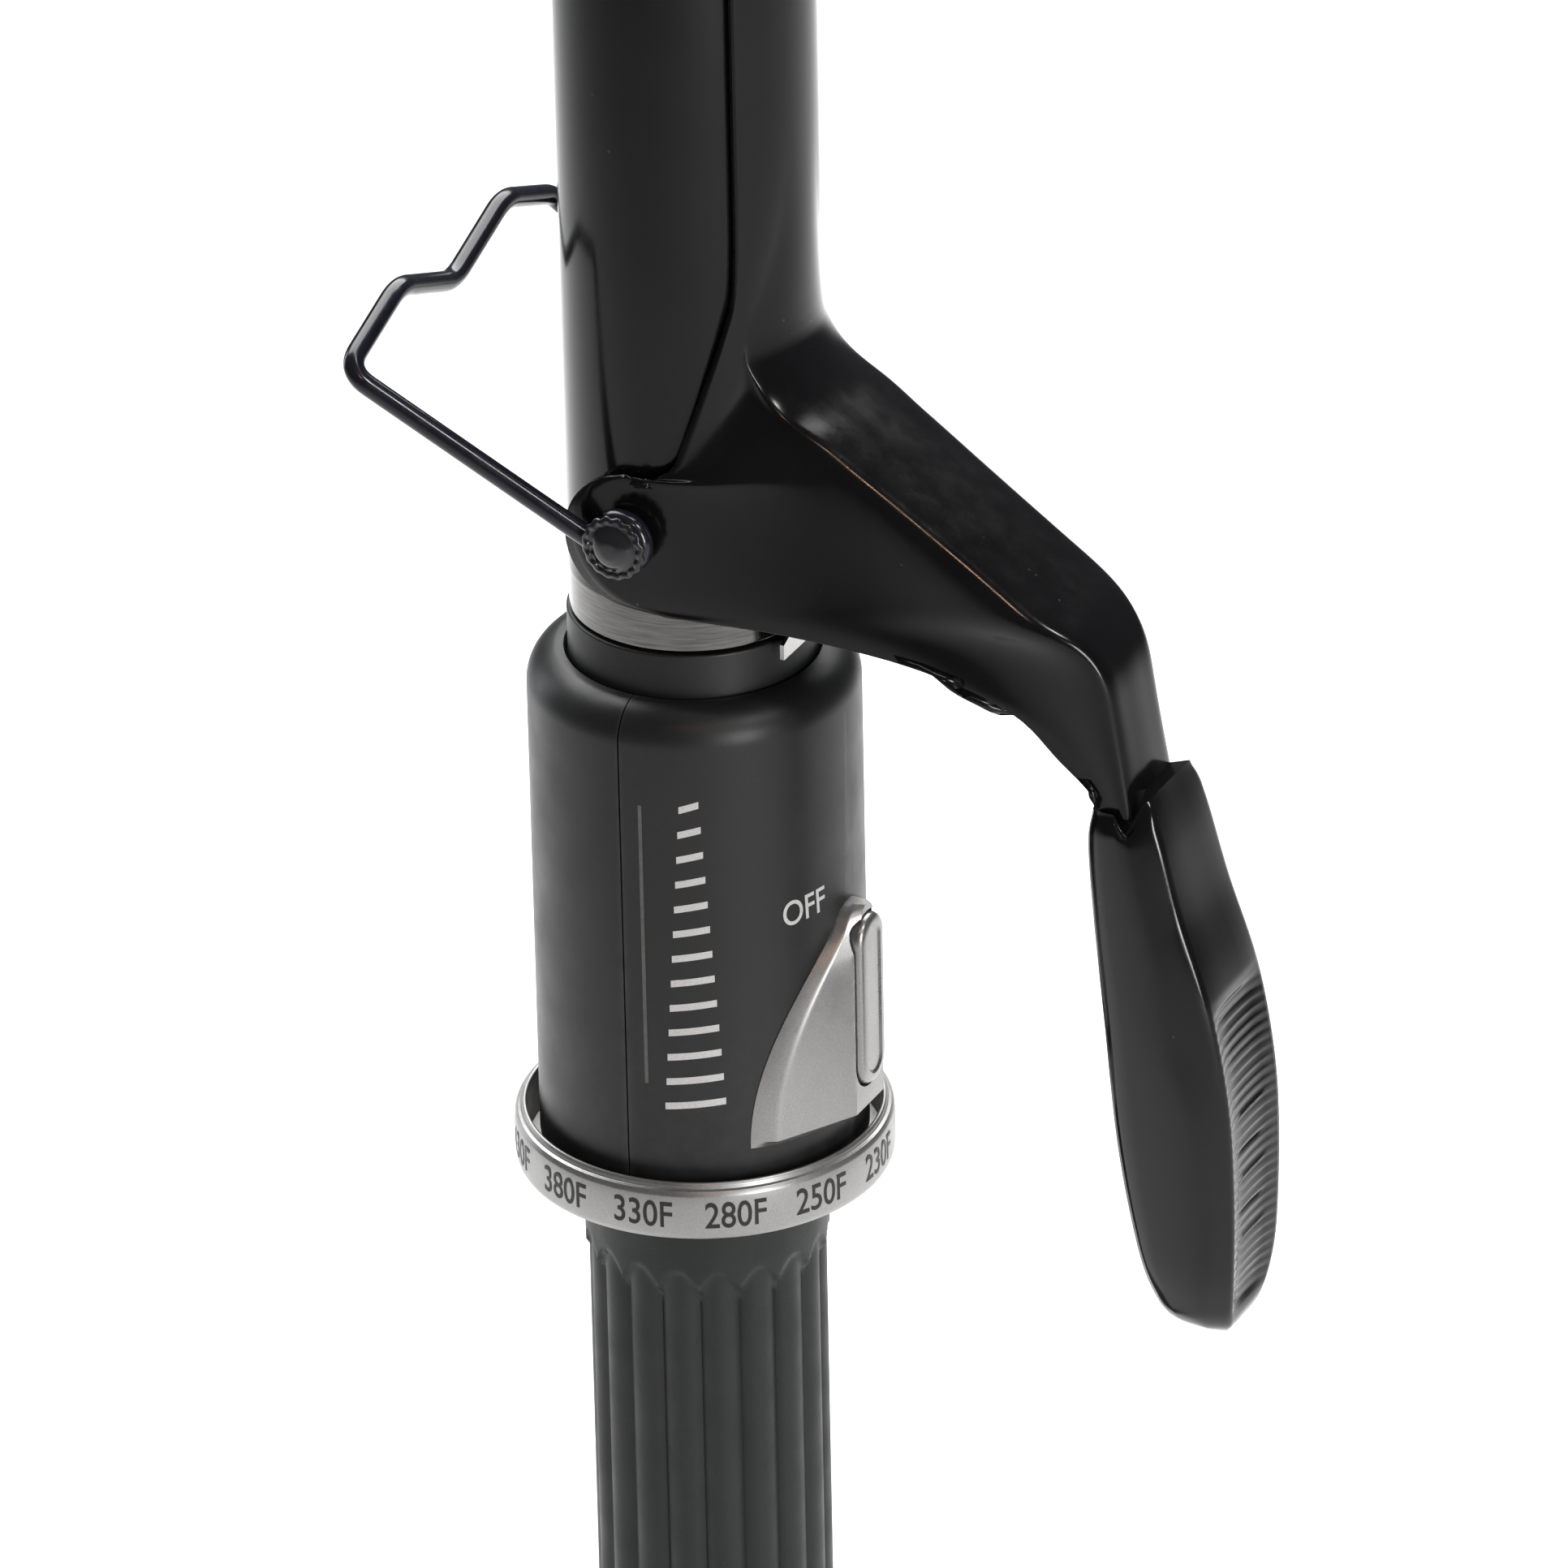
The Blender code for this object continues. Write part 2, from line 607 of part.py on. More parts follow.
def grip():
    """Fluted sleeve: rounded ribs between narrow valleys, fading into a smooth band at each end."""
    per_flute = 6
    sides = FLUTES * per_flute
    inner = CORE_RADIUS + GAP
    run_out = 3.0
    low, high = GRIP_BOTTOM + GRIP_COLLAR, GRIP_TOP - GRIP_COLLAR
    levels = [(GRIP_BOTTOM, 0), (low - 0.5, 0), (low + run_out, 1), (0, 1), (high - run_out, 1), (high + 0.5, 0),
              (GRIP_TOP, 0)]
    bm = bmesh.new()
    rings = []
    for z, depth in levels:
        ring = []
        for i in range(sides):
            angle = 2 * math.pi * i / sides
            rib = abs(math.sin(angle * FLUTES / 2))
            r = GRIP_RADIUS - FLUTE_DEPTH * depth * (1 - rib)
            ring.append(bm.verts.new((r * math.cos(angle), r * math.sin(angle), z)))
        rings.append(ring)
    for z in (GRIP_TOP, GRIP_BOTTOM):
        rings.append([bm.verts.new((inner * math.cos(2 * math.pi * i / sides),
                                    inner * math.sin(2 * math.pi * i / sides), z)) for i in range(sides)])
    for k in range(len(rings)):
        a, b = rings[k], rings[(k + 1) % len(rings)]
        for i in range(sides):
            n = (i + 1) % sides
            bm.faces.new((a[i], a[n], b[n], b[i]))
    from_bmesh("handle_grip", bm, "soft_black")


def core_tube():
    """Inner tube that carries the grip, the dial and the housing."""
    flange_low = HOUSING_BOTTOM + 2.0 + GAP
    turned("core_tube", [
        (CORE_BORE, GRIP_BOTTOM + GAP), (CORE_RADIUS, GRIP_BOTTOM + GAP), (CORE_RADIUS, flange_low),
        (HOUSING_BORE - 2, flange_low), (HOUSING_BORE - 2, flange_low + 2), (CORE_BORE, flange_low + 2),
    ], "matte_black_plastic", 48)


def end_cap():
    top = GRIP_BOTTOM - GAP
    bottom = top - END_CAP_HEIGHT
    bore = SWIVEL_NECK + RUN
    edge = arc((GRIP_RADIUS - 4, bottom + 4), 4, 0, -90, 5)
    turned("end_cap", [(bore, top + 6), (CORE_BORE - GAP, top + 6), (CORE_BORE - GAP, top),
                       (GRIP_RADIUS - 0.3, top), (GRIP_RADIUS, top - 0.4)] + edge + [(bore, bottom)],
           "matte_black_plastic", 48)
    return top, bottom


def swivel(cap_top, cap_bottom):
    """The cord's inlet turns in the end cap; brass rings on its neck carry the current."""
    shoulder = cap_bottom - GAP
    end = shoulder - SWIVEL_LENGTH
    clip = cap_top + 6 + GAP
    neck_top = clip + 18
    groove = SWIVEL_NECK - 0.8
    body = turned("swivel_socket", [
        (CORD_BORE, end), (CORD_BORE + 2.4, end), (9.4, shoulder - 3.4), (9.4, shoulder), (SWIVEL_NECK, shoulder),
        (SWIVEL_NECK, clip - 0.1), (groove, clip - 0.1), (groove, clip + 1.4), (SWIVEL_NECK, clip + 1.4),
        (SWIVEL_NECK, neck_top), (CORD_BORE, neck_top),
    ], "matte_black_plastic", 40)
    ring = turned("swivel_clip", [
        (groove + 0.2, clip + 0.2), (9.2, clip + 0.2), (9.2, clip + 1.1), (groove + 0.2, clip + 1.1),
    ], "steel", 20, 290.0)
    moving = [body, ring]
    holder_in = CORE_BORE - GAP - 1.6
    for i, low in enumerate((clip + 4, clip + 11)):
        moving.append(turned(f"slip_ring_{i + 1}", [
            (SWIVEL_NECK + GAP, low), (SWIVEL_NECK + 1.2, low), (SWIVEL_NECK + 1.2, low + 3),
            (SWIVEL_NECK + GAP, low + 3)], "brass", 32))
        turned(f"contact_brush_{i + 1}", [
            (SWIVEL_NECK + 1.2 + GAP, low + 0.8), (holder_in - GAP, low + 0.8),
            (holder_in - GAP, low + 2.2), (SWIVEL_NECK + 1.2 + GAP, low + 2.2)], "brass", 4, 30.0, 165.0)
    turned("brush_holder", [
        (holder_in, clip + 3), (CORE_BORE - GAP, clip + 3), (CORE_BORE - GAP, clip + 15), (holder_in, clip + 15),
    ], "component", 14, 150.0, 105.0)
    hang(axis_at("swivel_axis", 0, 0, shoulder), *moving)
    return neck_top


# ---------------------------------------------------------------- electronics and leads

def electronics(leads_from):
    low, high = HOUSING_BOTTOM + 10, HOUSING_TOP - 18
    board = -2.0
    box("control_board", (board - 1.6, -14, low), (board, 14, high), "circuit_board")
    back = board - 1.6 - GAP
    box("film_capacitor", (back - 7, -11, low + 26), (back, 2, low + 40), "red_lead", 0.5)
    box("triac", (back - 4.5, 4, low + 18), (back, 12, low + 32), "component", 0.4)
    box("control_chip", (back - 2.2, -6, low + 6), (back, 4, low + 14), "component", 0.3)
    heater_low = PIVOT + 16 - 1 - GAP
    for name, y, material in (("heater_lead_live", -6, "red_lead"), ("heater_lead_neutral", 6, "white_lead")):
        route = through([(0, y, heater_low), (0.5, y, PIVOT - 10), (1.5, y * 0.9, HOUSING_TOP - 4),
                         (board - 0.8, y * 0.8, high + 1.2)], 16)
        tube(name, route, 0.8, material)
    for name, y, material in (("mains_lead_live", -4, "red_lead"), ("mains_lead_neutral", 4, "white_lead")):
        route = through([(-1, y, leads_from + 1.5), (0, y, 0), (0, y, RING_TOP),
                         (board - 0.8, y, low - 1.2)], 20)
        tube(name, route, 0.8, material)


# ---------------------------------------------------------------- clamp

def fillet(before, corner, after, radius, steps):
    """Points round a corner."""
    a, b, c = Vector(before), Vector(corner), Vector(after)
    u, v = (a - b).normalized(), (c - b).normalized()
    half = u.angle(v) / 2
    reach = radius / math.tan(half)
    middle = b + (u + v).normalized() * (radius / math.sin(half))
    start, end = b + u * reach - middle, b + v * reach - middle
    turn = start.angle(end)
    return [middle + (start * math.sin(turn * (1 - i / steps)) + end * math.sin(turn * i / steps))
            / math.sin(turn) for i in range(steps + 1)]


def face_line(rows):
    """The clamp's outer face along its middle, from the tip down to the end in the thumb rest."""
    corner_z = (LEVER_REACH - CLAMP_OUTER) * LEVER_SLOPE - LEVER_DROP
    top = (CLAMP_OUTER, 40.0)
    upper = (CLAMP_OUTER, corner_z)
    lower = (LEVER_REACH, -LEVER_DROP)
    spoon = [Vector((CLAMP_OUTER, z)) for z in
             [CLAMP_LENGTH, CLAMP_LENGTH - 1.4, CLAMP_LENGTH - 4.5, CLAMP_LENGTH - 9, 78.0, 40.0]]
    lever = (fillet(top, upper, lower, 13, 8) + fillet(upper, lower, LEVER_END, 13, 8) + [Vector(LEVER_END)])
    return spoon + evenly(lever, rows)


def edge_line(rows):
    """The lower edge of the clamp's side wall in (x, z), from the barrel's side round the ear to its end."""
    beside = [(CLAMP_OUTER * math.cos(math.radians(a)), z) for a, z in ((41, 33), (49, 26), (60, 17), (70, 9.5))]
    ear = arc((0.3, -1.0), EAR_RADIUS, 76, 270, 9)
    along = through([(0.3, -1 - EAR_RADIUS), (22, -11.4), (40, -14.4), (50.5, -19.0), (56, -25.4),
                     (60.2, -29.2), (62.1, -32.2), (63.0, -37), (LEVER_END[0] - 4.6, LEVER_END[1])], 16)
    beside = evenly(beside, 6)
    return beside + [Vector(p) for p in ear] + along[1:rows - len(beside) - len(ear) + 1]


def wall_y(x):
    """How far a side wall stands from the middle: flat beside the barrel, then narrowing to the lever's neck."""
    flat = CLAMP_OUTER
    if x <= 6:
        return flat
    if x <= 42:
        return flat + (LEVER_HALF_WIDTH + 0.4 - flat) * (x - 6) / 36
    return LEVER_HALF_WIDTH + 0.4 + (LEVER_NECK_HALF_WIDTH - LEVER_HALF_WIDTH - 0.4) * smooth((x - 42) / 18)


def clamp_surface(face_steps=6, wall_steps=5):
    """Outer surface of the clamp, as rows of points from the tip to the lever's end."""
    rows = 31
    spoon_rows = 6
    centre = face_line(rows)
    edges = edge_line(rows)
    surface = []
    for k, middle in enumerate(centre):
        before, after = centre[max(k - 1, 0)], centre[min(k + 1, len(centre) - 1)]
        down = (after - before).normalized()
        out = Vector((-down.y, down.x))
        row = []
        if k < spoon_rows:
            half = math.radians(CLAMP_HALF_ANGLE * (0.35, 0.68, 0.9, 1.0, 1.0, 1.0)[k])
            lift = (1.4, 1.0, 0.45, 0.1, 0.0, 0.0)[k]
            steps = face_steps + 2 * wall_steps
            for j in range(steps + 1):
                angle = half * (2 * j / steps - 1)
                r = CLAMP_OUTER + lift
                row.append(Vector((r * math.cos(angle), r * math.sin(angle), middle.y)))
            surface.append(row)
            continue
        index = k - spoon_rows
        t = index / (rows - 1)
        narrow = smooth((middle.x - 54) / 12)
        width = LEVER_HALF_WIDTH + (LEVER_NECK_HALF_WIDTH - LEVER_HALF_WIDTH) * narrow
        crown = CLAMP_OUTER + (42 - CLAMP_OUTER) * smooth((middle.x - CLAMP_OUTER - 0.2) / 9)
        free = smooth((index - 2) / 5)
        end = edges[index]
        for side in (-1, 1):
            wall = []
            drop = crown - math.sqrt(crown ** 2 - width ** 2)
            crease = middle - out * drop
            for j in range(wall_steps):
                f = 1 - j / wall_steps
                x, z = crease.lerp(end, f)
                round_y = math.sqrt(max(CLAMP_OUTER ** 2 - x * x, 0.0))
                flat_y = width + (wall_y(x) - width) * smooth(f * 1.6)
                y = max(round_y, width + (flat_y - width) * free)
                wall.append(Vector((x, side * y, z)))
            if side < 0:
                row += wall
                for j in range(face_steps + 1):
                    y = width * (2 * j / face_steps - 1)
                    d = crown - math.sqrt(crown ** 2 - y * y)
                    x, z = middle - out * d
                    row.append(Vector((x, y, z)))
            else:
                row += list(reversed(wall))
        surface.append(row)
    return surface


def clamp():
    bm = bmesh.new()
    grid = [[bm.verts.new(p + Vector((0, 0, PIVOT))) for p in row] for row in clamp_surface()]
    for a, b in zip(grid, grid[1:]):
        for j in range(len(a) - 1):
            bm.faces.new((a[j], b[j], b[j + 1], a[j + 1]))
    mesh = bpy.data.meshes.new("clamp")
    bm.to_mesh(mesh)
    bm.free()
    piece = place("clamp", mesh, "black_enamel")
    skin = piece.modifiers.new("sheet", "SOLIDIFY")
    skin.thickness = SHEET * MM
    skin.offset = -1.0
    hole = rod("ear_holes", RIVET_SHANK + GAP, -2 * BARREL_RADIUS, 2 * BARREL_RADIUS, along="Y")
    cut(piece, move(hole, z=PIVOT))
    return piece


def thumb_rest():
    """Moulded rest on the lever's end: flat towards the handle, crowned where the thumb presses."""
    top, length = -28.5, THUMB_REST_LENGTH
    inside = through([(60.2, -31.5), (59.8, -37), (61.1, -52), (62.7, -72), (65.0, -90), (68.4, -102),
                      (72.0, top - length)], 12)
    outside = through([(69.6, top), (72.0, -38), (77.6, -54), (80.7, -74), (80.6, -90), (79.4, -103),
                       (77.0, top - length - 0.6)], 12)
    bm = bmesh.new()
    rings = []
    steps = 20
    for k, (a, b) in enumerate(zip(inside, outside)):
        t = k / (len(inside) - 1)
        half = THUMB_REST_HALF_WIDTH * (0.88 + 0.12 * math.sin(math.pi * min(t * 1.1, 1.0)))
        if t > 0.8:
            half *= 1 - 0.28 * smooth((t - 0.8) / 0.2)
        ring = []
        for i in range(steps):
            angle = 2 * math.pi * i / steps
            c, s = math.cos(angle), math.sin(angle)
            across = math.copysign(abs(s) ** 0.55, s) * half
            depth = 0.5 + 0.5 * math.copysign(abs(c) ** 0.6, c)
            x, z = a.lerp(b, depth)
            ring.append(bm.verts.new((x, across, z + PIVOT)))
        rings.append(ring)
    bm.faces.new(rings[0])
    bm.faces.new(list(reversed(rings[-1])))
    for a, b in zip(rings, rings[1:]):
        for i in range(steps):
            n = (i + 1) % steps
            bm.faces.new((a[i], b[i], b[n], a[n]))
    piece = from_bmesh("thumb_rest", bm, "gloss_black_plastic")
    pocket_half = LEVER_NECK_HALF_WIDTH + GAP + 0.3
    foot = LEVER_END[1] - 1.2
    outline = [(60.4, -26), (60.7, -32), (61.8, -37.5), (LEVER_END[0] - 5.4, foot),
               (LEVER_END[0] + 0.8, foot), (66.4 + GAP, -29.5), (65.9 + GAP, -26)]
    outline = [(x, z + PIVOT) for x, z in outline]
    cut(piece, prism("lever_pocket", outline, -pocket_half, pocket_half, along="Y"))
    return piece


def rivets():
    for name, side in (("pivot_rivet_near", -1), ("pivot_rivet_far", 1)):
        dome = [(RIVET_HEAD, HEAD_Y + 0.5), (RIVET_HEAD - 0.5, HEAD_Y + 1.2), (RIVET_HEAD - 1.6, HEAD_Y + 1.6),
                (0, HEAD_Y + 1.9)]
        tail = BARREL_BORE - GAP - 0.6
        piece = turned(name, [
            (0, tail - 1.2), (2.6, tail - 1.2), (2.6, tail), (RIVET_SHANK, tail), (RIVET_SHANK, HEAD_Y),
            (RIVET_HEAD, HEAD_Y)] + dome, "steel", FINE, along="Y")
        if side < 0:
            piece.rotation_euler = (math.pi, 0, 0)
        move(piece, z=PIVOT)


def clamp_spring():
    """Bowed leaf spring: its wide foot lies on the barrel and its free end pushes the lever out."""
    thick = 0.6
    seat = BARREL_RADIUS + 1.0
    line = through([(seat, -18.8), (seat, -14), (seat, -6), (seat + 0.6, 1), (19.8, 8), (23, 12.0),
                    (26.5, 13.0), (29.5, 10.8)], 20)
    bm = bmesh.new()
    rows = []
    for i, p in enumerate(line):
        along = (line[min(i + 1, len(line) - 1)] - line[max(i - 1, 0)]).normalized()
        side = Vector((-along.y, along.x)) * thick / 2
        half_width = SPRING_FOOT / 2 if i < 2 else SPRING_WIDTH / 2
        corners = []
        for q, y in ((p + side, -half_width), (p + side, half_width), (p - side, half_width), (p - side, -half_width)):
            corners.append(bm.verts.new((q.x, y, q.y + PIVOT)))
        rows.append(corners)
    bm.faces.new(rows[0])
    bm.faces.new(list(reversed(rows[-1])))
    for a, b in zip(rows, rows[1:]):
        for i in range(4):
            n = (i + 1) % 4
            bm.faces.new((a[i], b[i], b[n], a[n]))
    return from_bmesh("clamp_spring", bm, "steel")


# ---------------------------------------------------------------- stand

def stand_route():
    """Half of the stand's centre line, from its eye round the near rivet to the middle of the foot."""
    eye = [Vector((x, -EYE_Y, z)) for x, z in arc((0, 0), EYE_RADIUS, 120, -130, 14)]
    foot = Vector((-STAND_REACH, -STAND_HALF_WIDTH, STAND_RISE))
    peak = Vector((-STAND_REACH, -STAND_HALF_WIDTH / 2, STAND_RISE + STAND_ZIGZAG))
    valley = Vector((-STAND_REACH, 0, STAND_RISE))
    leave = eye[-1]
    lead = (foot - leave).normalized()
    start = leave + Vector((lead.x, 0, lead.z)) * 3.0
    route = eye + [start]
    route += round_corner(start, foot, peak, 4.0)
    route += round_corner(foot, peak, valley, 3.0)
    return route, peak, valley


def round_corner(before, corner, after, reach, steps=5):
    u, v = (before - corner).normalized(), (after - corner).normalized()
    a, b = corner + u * reach, corner + v * reach
    return [(1 - t) ** 2 * a + 2 * t * (1 - t) * corner + t * t * b for t in [i / steps for i in range(steps + 1)]]


def stand():
    half, peak, valley = stand_route()
    mirrored = Vector((peak.x, -peak.y, peak.z))
    route = half + round_corner(peak, valley, mirrored, 3.0)
    route += [Vector((p.x, -p.y, p.z)) for p in reversed(half)]
    return tube("stand_wire", [p + Vector((0, 0, PIVOT)) for p in route], WIRE_RADIUS, "coated_wire")


# ---------------------------------------------------------------- assembly

def build():
    clear_scene()
    barrel()
    cool_tip()
    heater()
    neck_collar()
    housing()
    switch_body()
    rocker()
    bezel()
    dial()
    core_tube()
    grip()
    cap_top, cap_bottom = end_cap()
    neck_top = swivel(cap_top, cap_bottom)
    electronics(neck_top)
    rivets()
    clamp_spring()
    hang(axis_at("clamp_axis", 0, 0, PIVOT), clamp(), thumb_rest())
    hang(axis_at("stand_axis", 0, 0, PIVOT), stand())


build()
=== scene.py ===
"""The looks of a spring-clamp curling iron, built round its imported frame.

+Z runs up the barrel, +X points to the thumb lever, -X to the wire stand. Shapes are in millimetres.
"""

import json
import math

import bmesh
import bpy
from mathutils import Matrix, Vector


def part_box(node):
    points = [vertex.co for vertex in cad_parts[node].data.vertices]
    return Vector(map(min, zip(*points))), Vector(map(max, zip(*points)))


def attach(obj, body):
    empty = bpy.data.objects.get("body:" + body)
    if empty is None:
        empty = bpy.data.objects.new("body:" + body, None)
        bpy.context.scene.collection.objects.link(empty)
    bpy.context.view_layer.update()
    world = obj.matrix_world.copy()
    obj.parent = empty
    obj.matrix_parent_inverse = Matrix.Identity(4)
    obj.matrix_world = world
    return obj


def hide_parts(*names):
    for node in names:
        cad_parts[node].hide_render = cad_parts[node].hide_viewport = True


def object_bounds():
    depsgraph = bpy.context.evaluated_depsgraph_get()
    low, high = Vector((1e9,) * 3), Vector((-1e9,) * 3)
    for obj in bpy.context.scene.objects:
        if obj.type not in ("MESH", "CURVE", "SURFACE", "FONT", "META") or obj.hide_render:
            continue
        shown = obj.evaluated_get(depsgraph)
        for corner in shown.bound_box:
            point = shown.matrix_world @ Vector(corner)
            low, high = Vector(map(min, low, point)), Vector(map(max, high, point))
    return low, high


MM = 0.001
SIDES = 192
GAP = 0.3

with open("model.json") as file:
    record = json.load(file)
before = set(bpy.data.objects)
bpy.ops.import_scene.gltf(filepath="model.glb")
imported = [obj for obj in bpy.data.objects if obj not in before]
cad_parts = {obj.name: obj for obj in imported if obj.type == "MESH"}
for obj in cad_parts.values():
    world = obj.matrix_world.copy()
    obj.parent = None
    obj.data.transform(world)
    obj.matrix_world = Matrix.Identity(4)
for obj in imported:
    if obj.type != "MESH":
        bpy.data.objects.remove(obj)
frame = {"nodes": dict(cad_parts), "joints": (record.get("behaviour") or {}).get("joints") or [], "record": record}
CAD_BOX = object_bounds()


def span(node):
    low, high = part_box(node)
    return low / MM, high / MM


def joint_at(name):
    found = next(j for j in frame["joints"] if j["name"] == name)
    return Vector(found["pos_m"]) / MM


PIVOT = joint_at("clamp_pivot").z
BARREL_LOW, BARREL_HIGH = span("barrel_tube")
BARREL_BASE, BARREL_TOP, BARREL_RADIUS = BARREL_LOW.z, BARREL_HIGH.z, BARREL_HIGH.x
RING_LOW, RING_HIGH = span("dial_ring")
RING_BOTTOM, RING_TOP, RING_RADIUS = RING_LOW.z, RING_HIGH.z, RING_HIGH.x
HOUSING_LOW, HOUSING_HIGH = span("housing_front")
HOUSING_BOTTOM, HOUSING_TOP, HOUSING_RADIUS = HOUSING_LOW.z, HOUSING_HIGH.z, HOUSING_HIGH.x
NECK_RADIUS = BARREL_RADIUS + 0.4
GRIP_LOW, GRIP_HIGH = span("handle_grip")
GRIP_BOTTOM, GRIP_TOP, GRIP_RADIUS = GRIP_LOW.z, GRIP_HIGH.z, GRIP_HIGH.x
CAP_BOTTOM = span("end_cap")[0].z
TIP_LOW, TIP_HIGH = span("cool_tip")
PLUG_LOW, PLUG_HIGH = span("tip_insulator")
SOCKET_LOW, SOCKET_HIGH = span("swivel_socket")
ROCKER_LOW, ROCKER_HIGH = span("switch_rocker")
BEZEL_LOW, BEZEL_HIGH = span("switch_bezel")


# ---------------------------------------------------------------- materials

class Recipe:
    """A node-based material: one Principled shader and the textures that feed it."""

    def __init__(self, name):
        self.material = bpy.data.materials.new(name)
        self.material.use_nodes = True
        self.tree = self.material.node_tree
        self.shader = self.tree.nodes["Principled BSDF"]
        self.place = self.add("ShaderNodeTexCoord").outputs["Object"]

    def add(self, kind, **settings):
        node = self.tree.nodes.new(kind)
        for key, value in settings.items():
            setattr(node, key, value)
        return node

    def link(self, a, b):
        self.tree.links.new(a, b)

    def stretched(self, scale):
        mapping = self.add("ShaderNodeMapping")
        mapping.inputs["Scale"].default_value = scale
        self.link(self.place, mapping.inputs["Vector"])
        return mapping.outputs["Vector"]

    def noise(self, size_mm, detail=3.0, rough=0.55, where=None):
        node = self.add("ShaderNodeTexNoise")
        node.inputs["Scale"].default_value = 1.0 / (size_mm * MM)
        node.inputs["Detail"].default_value = detail
        node.inputs["Roughness"].default_value = rough
        self.link(where or self.place, node.inputs["Vector"])
        return node.outputs["Fac"]

    def ranged(self, value, low, high, start=0.3, end=0.7):
        node = self.add("ShaderNodeMapRange")
        node.inputs["From Min"].default_value = start
        node.inputs["From Max"].default_value = end
        node.inputs["To Min"].default_value = low
        node.inputs["To Max"].default_value = high
        self.link(value, node.inputs["Value"])
        return node.outputs["Result"]

    def math(self, operation, a, b):
        node = self.add("ShaderNodeMath", operation=operation)
        for socket, value in zip(node.inputs, (a, b)):
            if isinstance(value, (int, float)):
                socket.default_value = value
            else:
                self.link(value, socket)
        return node.outputs["Value"]

    def mixed(self, factor, a, b):
        node = self.add("ShaderNodeMix", data_type="RGBA")
        self.link(factor, node.inputs["Factor"])
        for key, value in (("A", a), ("B", b)):
            socket = [s for s in node.inputs if s.name == key and s.type == "RGBA"][0]
            if isinstance(value, tuple):
                socket.default_value = (*value, 1.0)
            else:
                self.link(value, socket)
        return [s for s in node.outputs if s.type == "RGBA"][0]

    def specks(self, size_mm, amount):
        """Small bright points, such as dust."""
        node = self.add("ShaderNodeTexVoronoi", feature="F1")
        node.inputs["Scale"].default_value = 1.0 / (size_mm * MM)
        self.link(self.place, node.inputs["Vector"])
        near = self.ranged(node.outputs["Distance"], 1.0, 0.0, 0.0, 0.12)
        chosen = self.ranged(self.noise(size_mm * 5, 1.0), 0.0, amount, 0.62, 0.7)
        return self.math("MULTIPLY", near, chosen)

    def bump(self, height, depth_mm):
        node = self.add("ShaderNodeBump")
        node.inputs["Distance"].default_value = depth_mm * MM
        node.inputs["Strength"].default_value = 1.0
        self.link(height, node.inputs["Height"])
        return node.outputs["Normal"]

    def worn(self, colour, light, amount=0.5):
        """Edges that stand proud are rubbed a little lighter, unevenly."""
        pointed = self.add("ShaderNodeNewGeometry").outputs["Pointiness"]
        edge = self.ranged(pointed, 0.0, amount, 0.53, 0.62)
        patchy = self.math("MULTIPLY", edge, self.ranged(self.noise(2.5), 0.2, 1.0))
        return self.mixed(patchy, colour, light)

    def finish(self, colour, rough, normal, metallic=0.0, specular=0.5):
        """Feeds the shader. Roughness is a socket or a number, the colour and normal are sockets."""
        shader = self.shader
        self.link(colour, shader.inputs["Base Color"])
        if isinstance(rough, float):
            shader.inputs["Roughness"].default_value = rough
        else:
            self.link(rough, shader.inputs["Roughness"])
        self.link(normal, shader.inputs["Normal"])
        shader.inputs["Metallic"].default_value = metallic
        shader.inputs["Specular IOR Level"].default_value = specular
        shader.inputs["Coat Weight"].default_value = 0.0
        shader.inputs["IOR"].default_value = 1.5
        return self.material


def enamel(name, colour=(0.003, 0.003, 0.0034), rough=(0.10, 0.19), peel=0.0016, specular=0.30):
    """Black baked enamel: faint orange peel, soft wipe marks and a little dust."""
    m = Recipe(name)
    cloud = m.noise(14, 3)
    wipe = m.noise(3.0, 4, 0.6, m.stretched((1.0, 1.0, 0.16)))
    tint = m.mixed(m.ranged(cloud, 0.0, 1.0), colour, tuple(c * 1.5 + 0.0008 for c in colour))
    tint = m.mixed(m.specks(2.2, 0.5), tint, (0.16, 0.16, 0.17))
    roughness = m.math("ADD", m.ranged(wipe, *rough), m.ranged(m.noise(0.35, 2), 0.0, 0.03))
    normal = m.bump(m.noise(2.6, 2), peel)
    return m.finish(tint, roughness, normal, specular=specular)


def moulded(name, colour, rough, grain, depth, specular=0.4, wear=(0.09, 0.09, 0.095)):
    """Spark-textured plastic: a fine even grain, slightly greasy patches and rubbed edges."""
    m = Recipe(name)
    cloud = m.noise(11, 3)
    tint = m.mixed(m.ranged(cloud, 0.0, 1.0), colour, tuple(c * 1.25 for c in colour))
    tint = m.mixed(m.ranged(m.noise(grain, 2), 0.0, 0.4), tint, tuple(c * 1.7 for c in colour))
    tint = m.worn(tint, wear)
    roughness = m.ranged(m.noise(7, 4), *rough)
    normal = m.bump(m.noise(grain, 3), depth)
    return m.finish(tint, roughness, normal, specular=specular)


def silver(name, bright=0.37, rough=(0.30, 0.40), metallic=0.9):
    """Satin metallic paint: fine flake, faint mottling and thin rubbed edges."""
    m = Recipe(name)
    flake = m.noise(0.16, 1)
    light = (bright * 1.16, bright * 1.14, bright * 1.12)
    tint = m.mixed(m.ranged(flake, 0.0, 1.0), (bright * 0.86,) * 3, light)
    tint = m.mixed(m.ranged(m.noise(9, 3), 0.0, 0.35), tint, (bright * 0.86, bright * 0.85, bright * 0.83))
    roughness = m.math("ADD", m.ranged(m.noise(5, 4), *rough), m.ranged(flake, 0.0, 0.08))
    normal = m.bump(flake, 0.004)
    return m.finish(tint, roughness, normal, metallic=metallic)


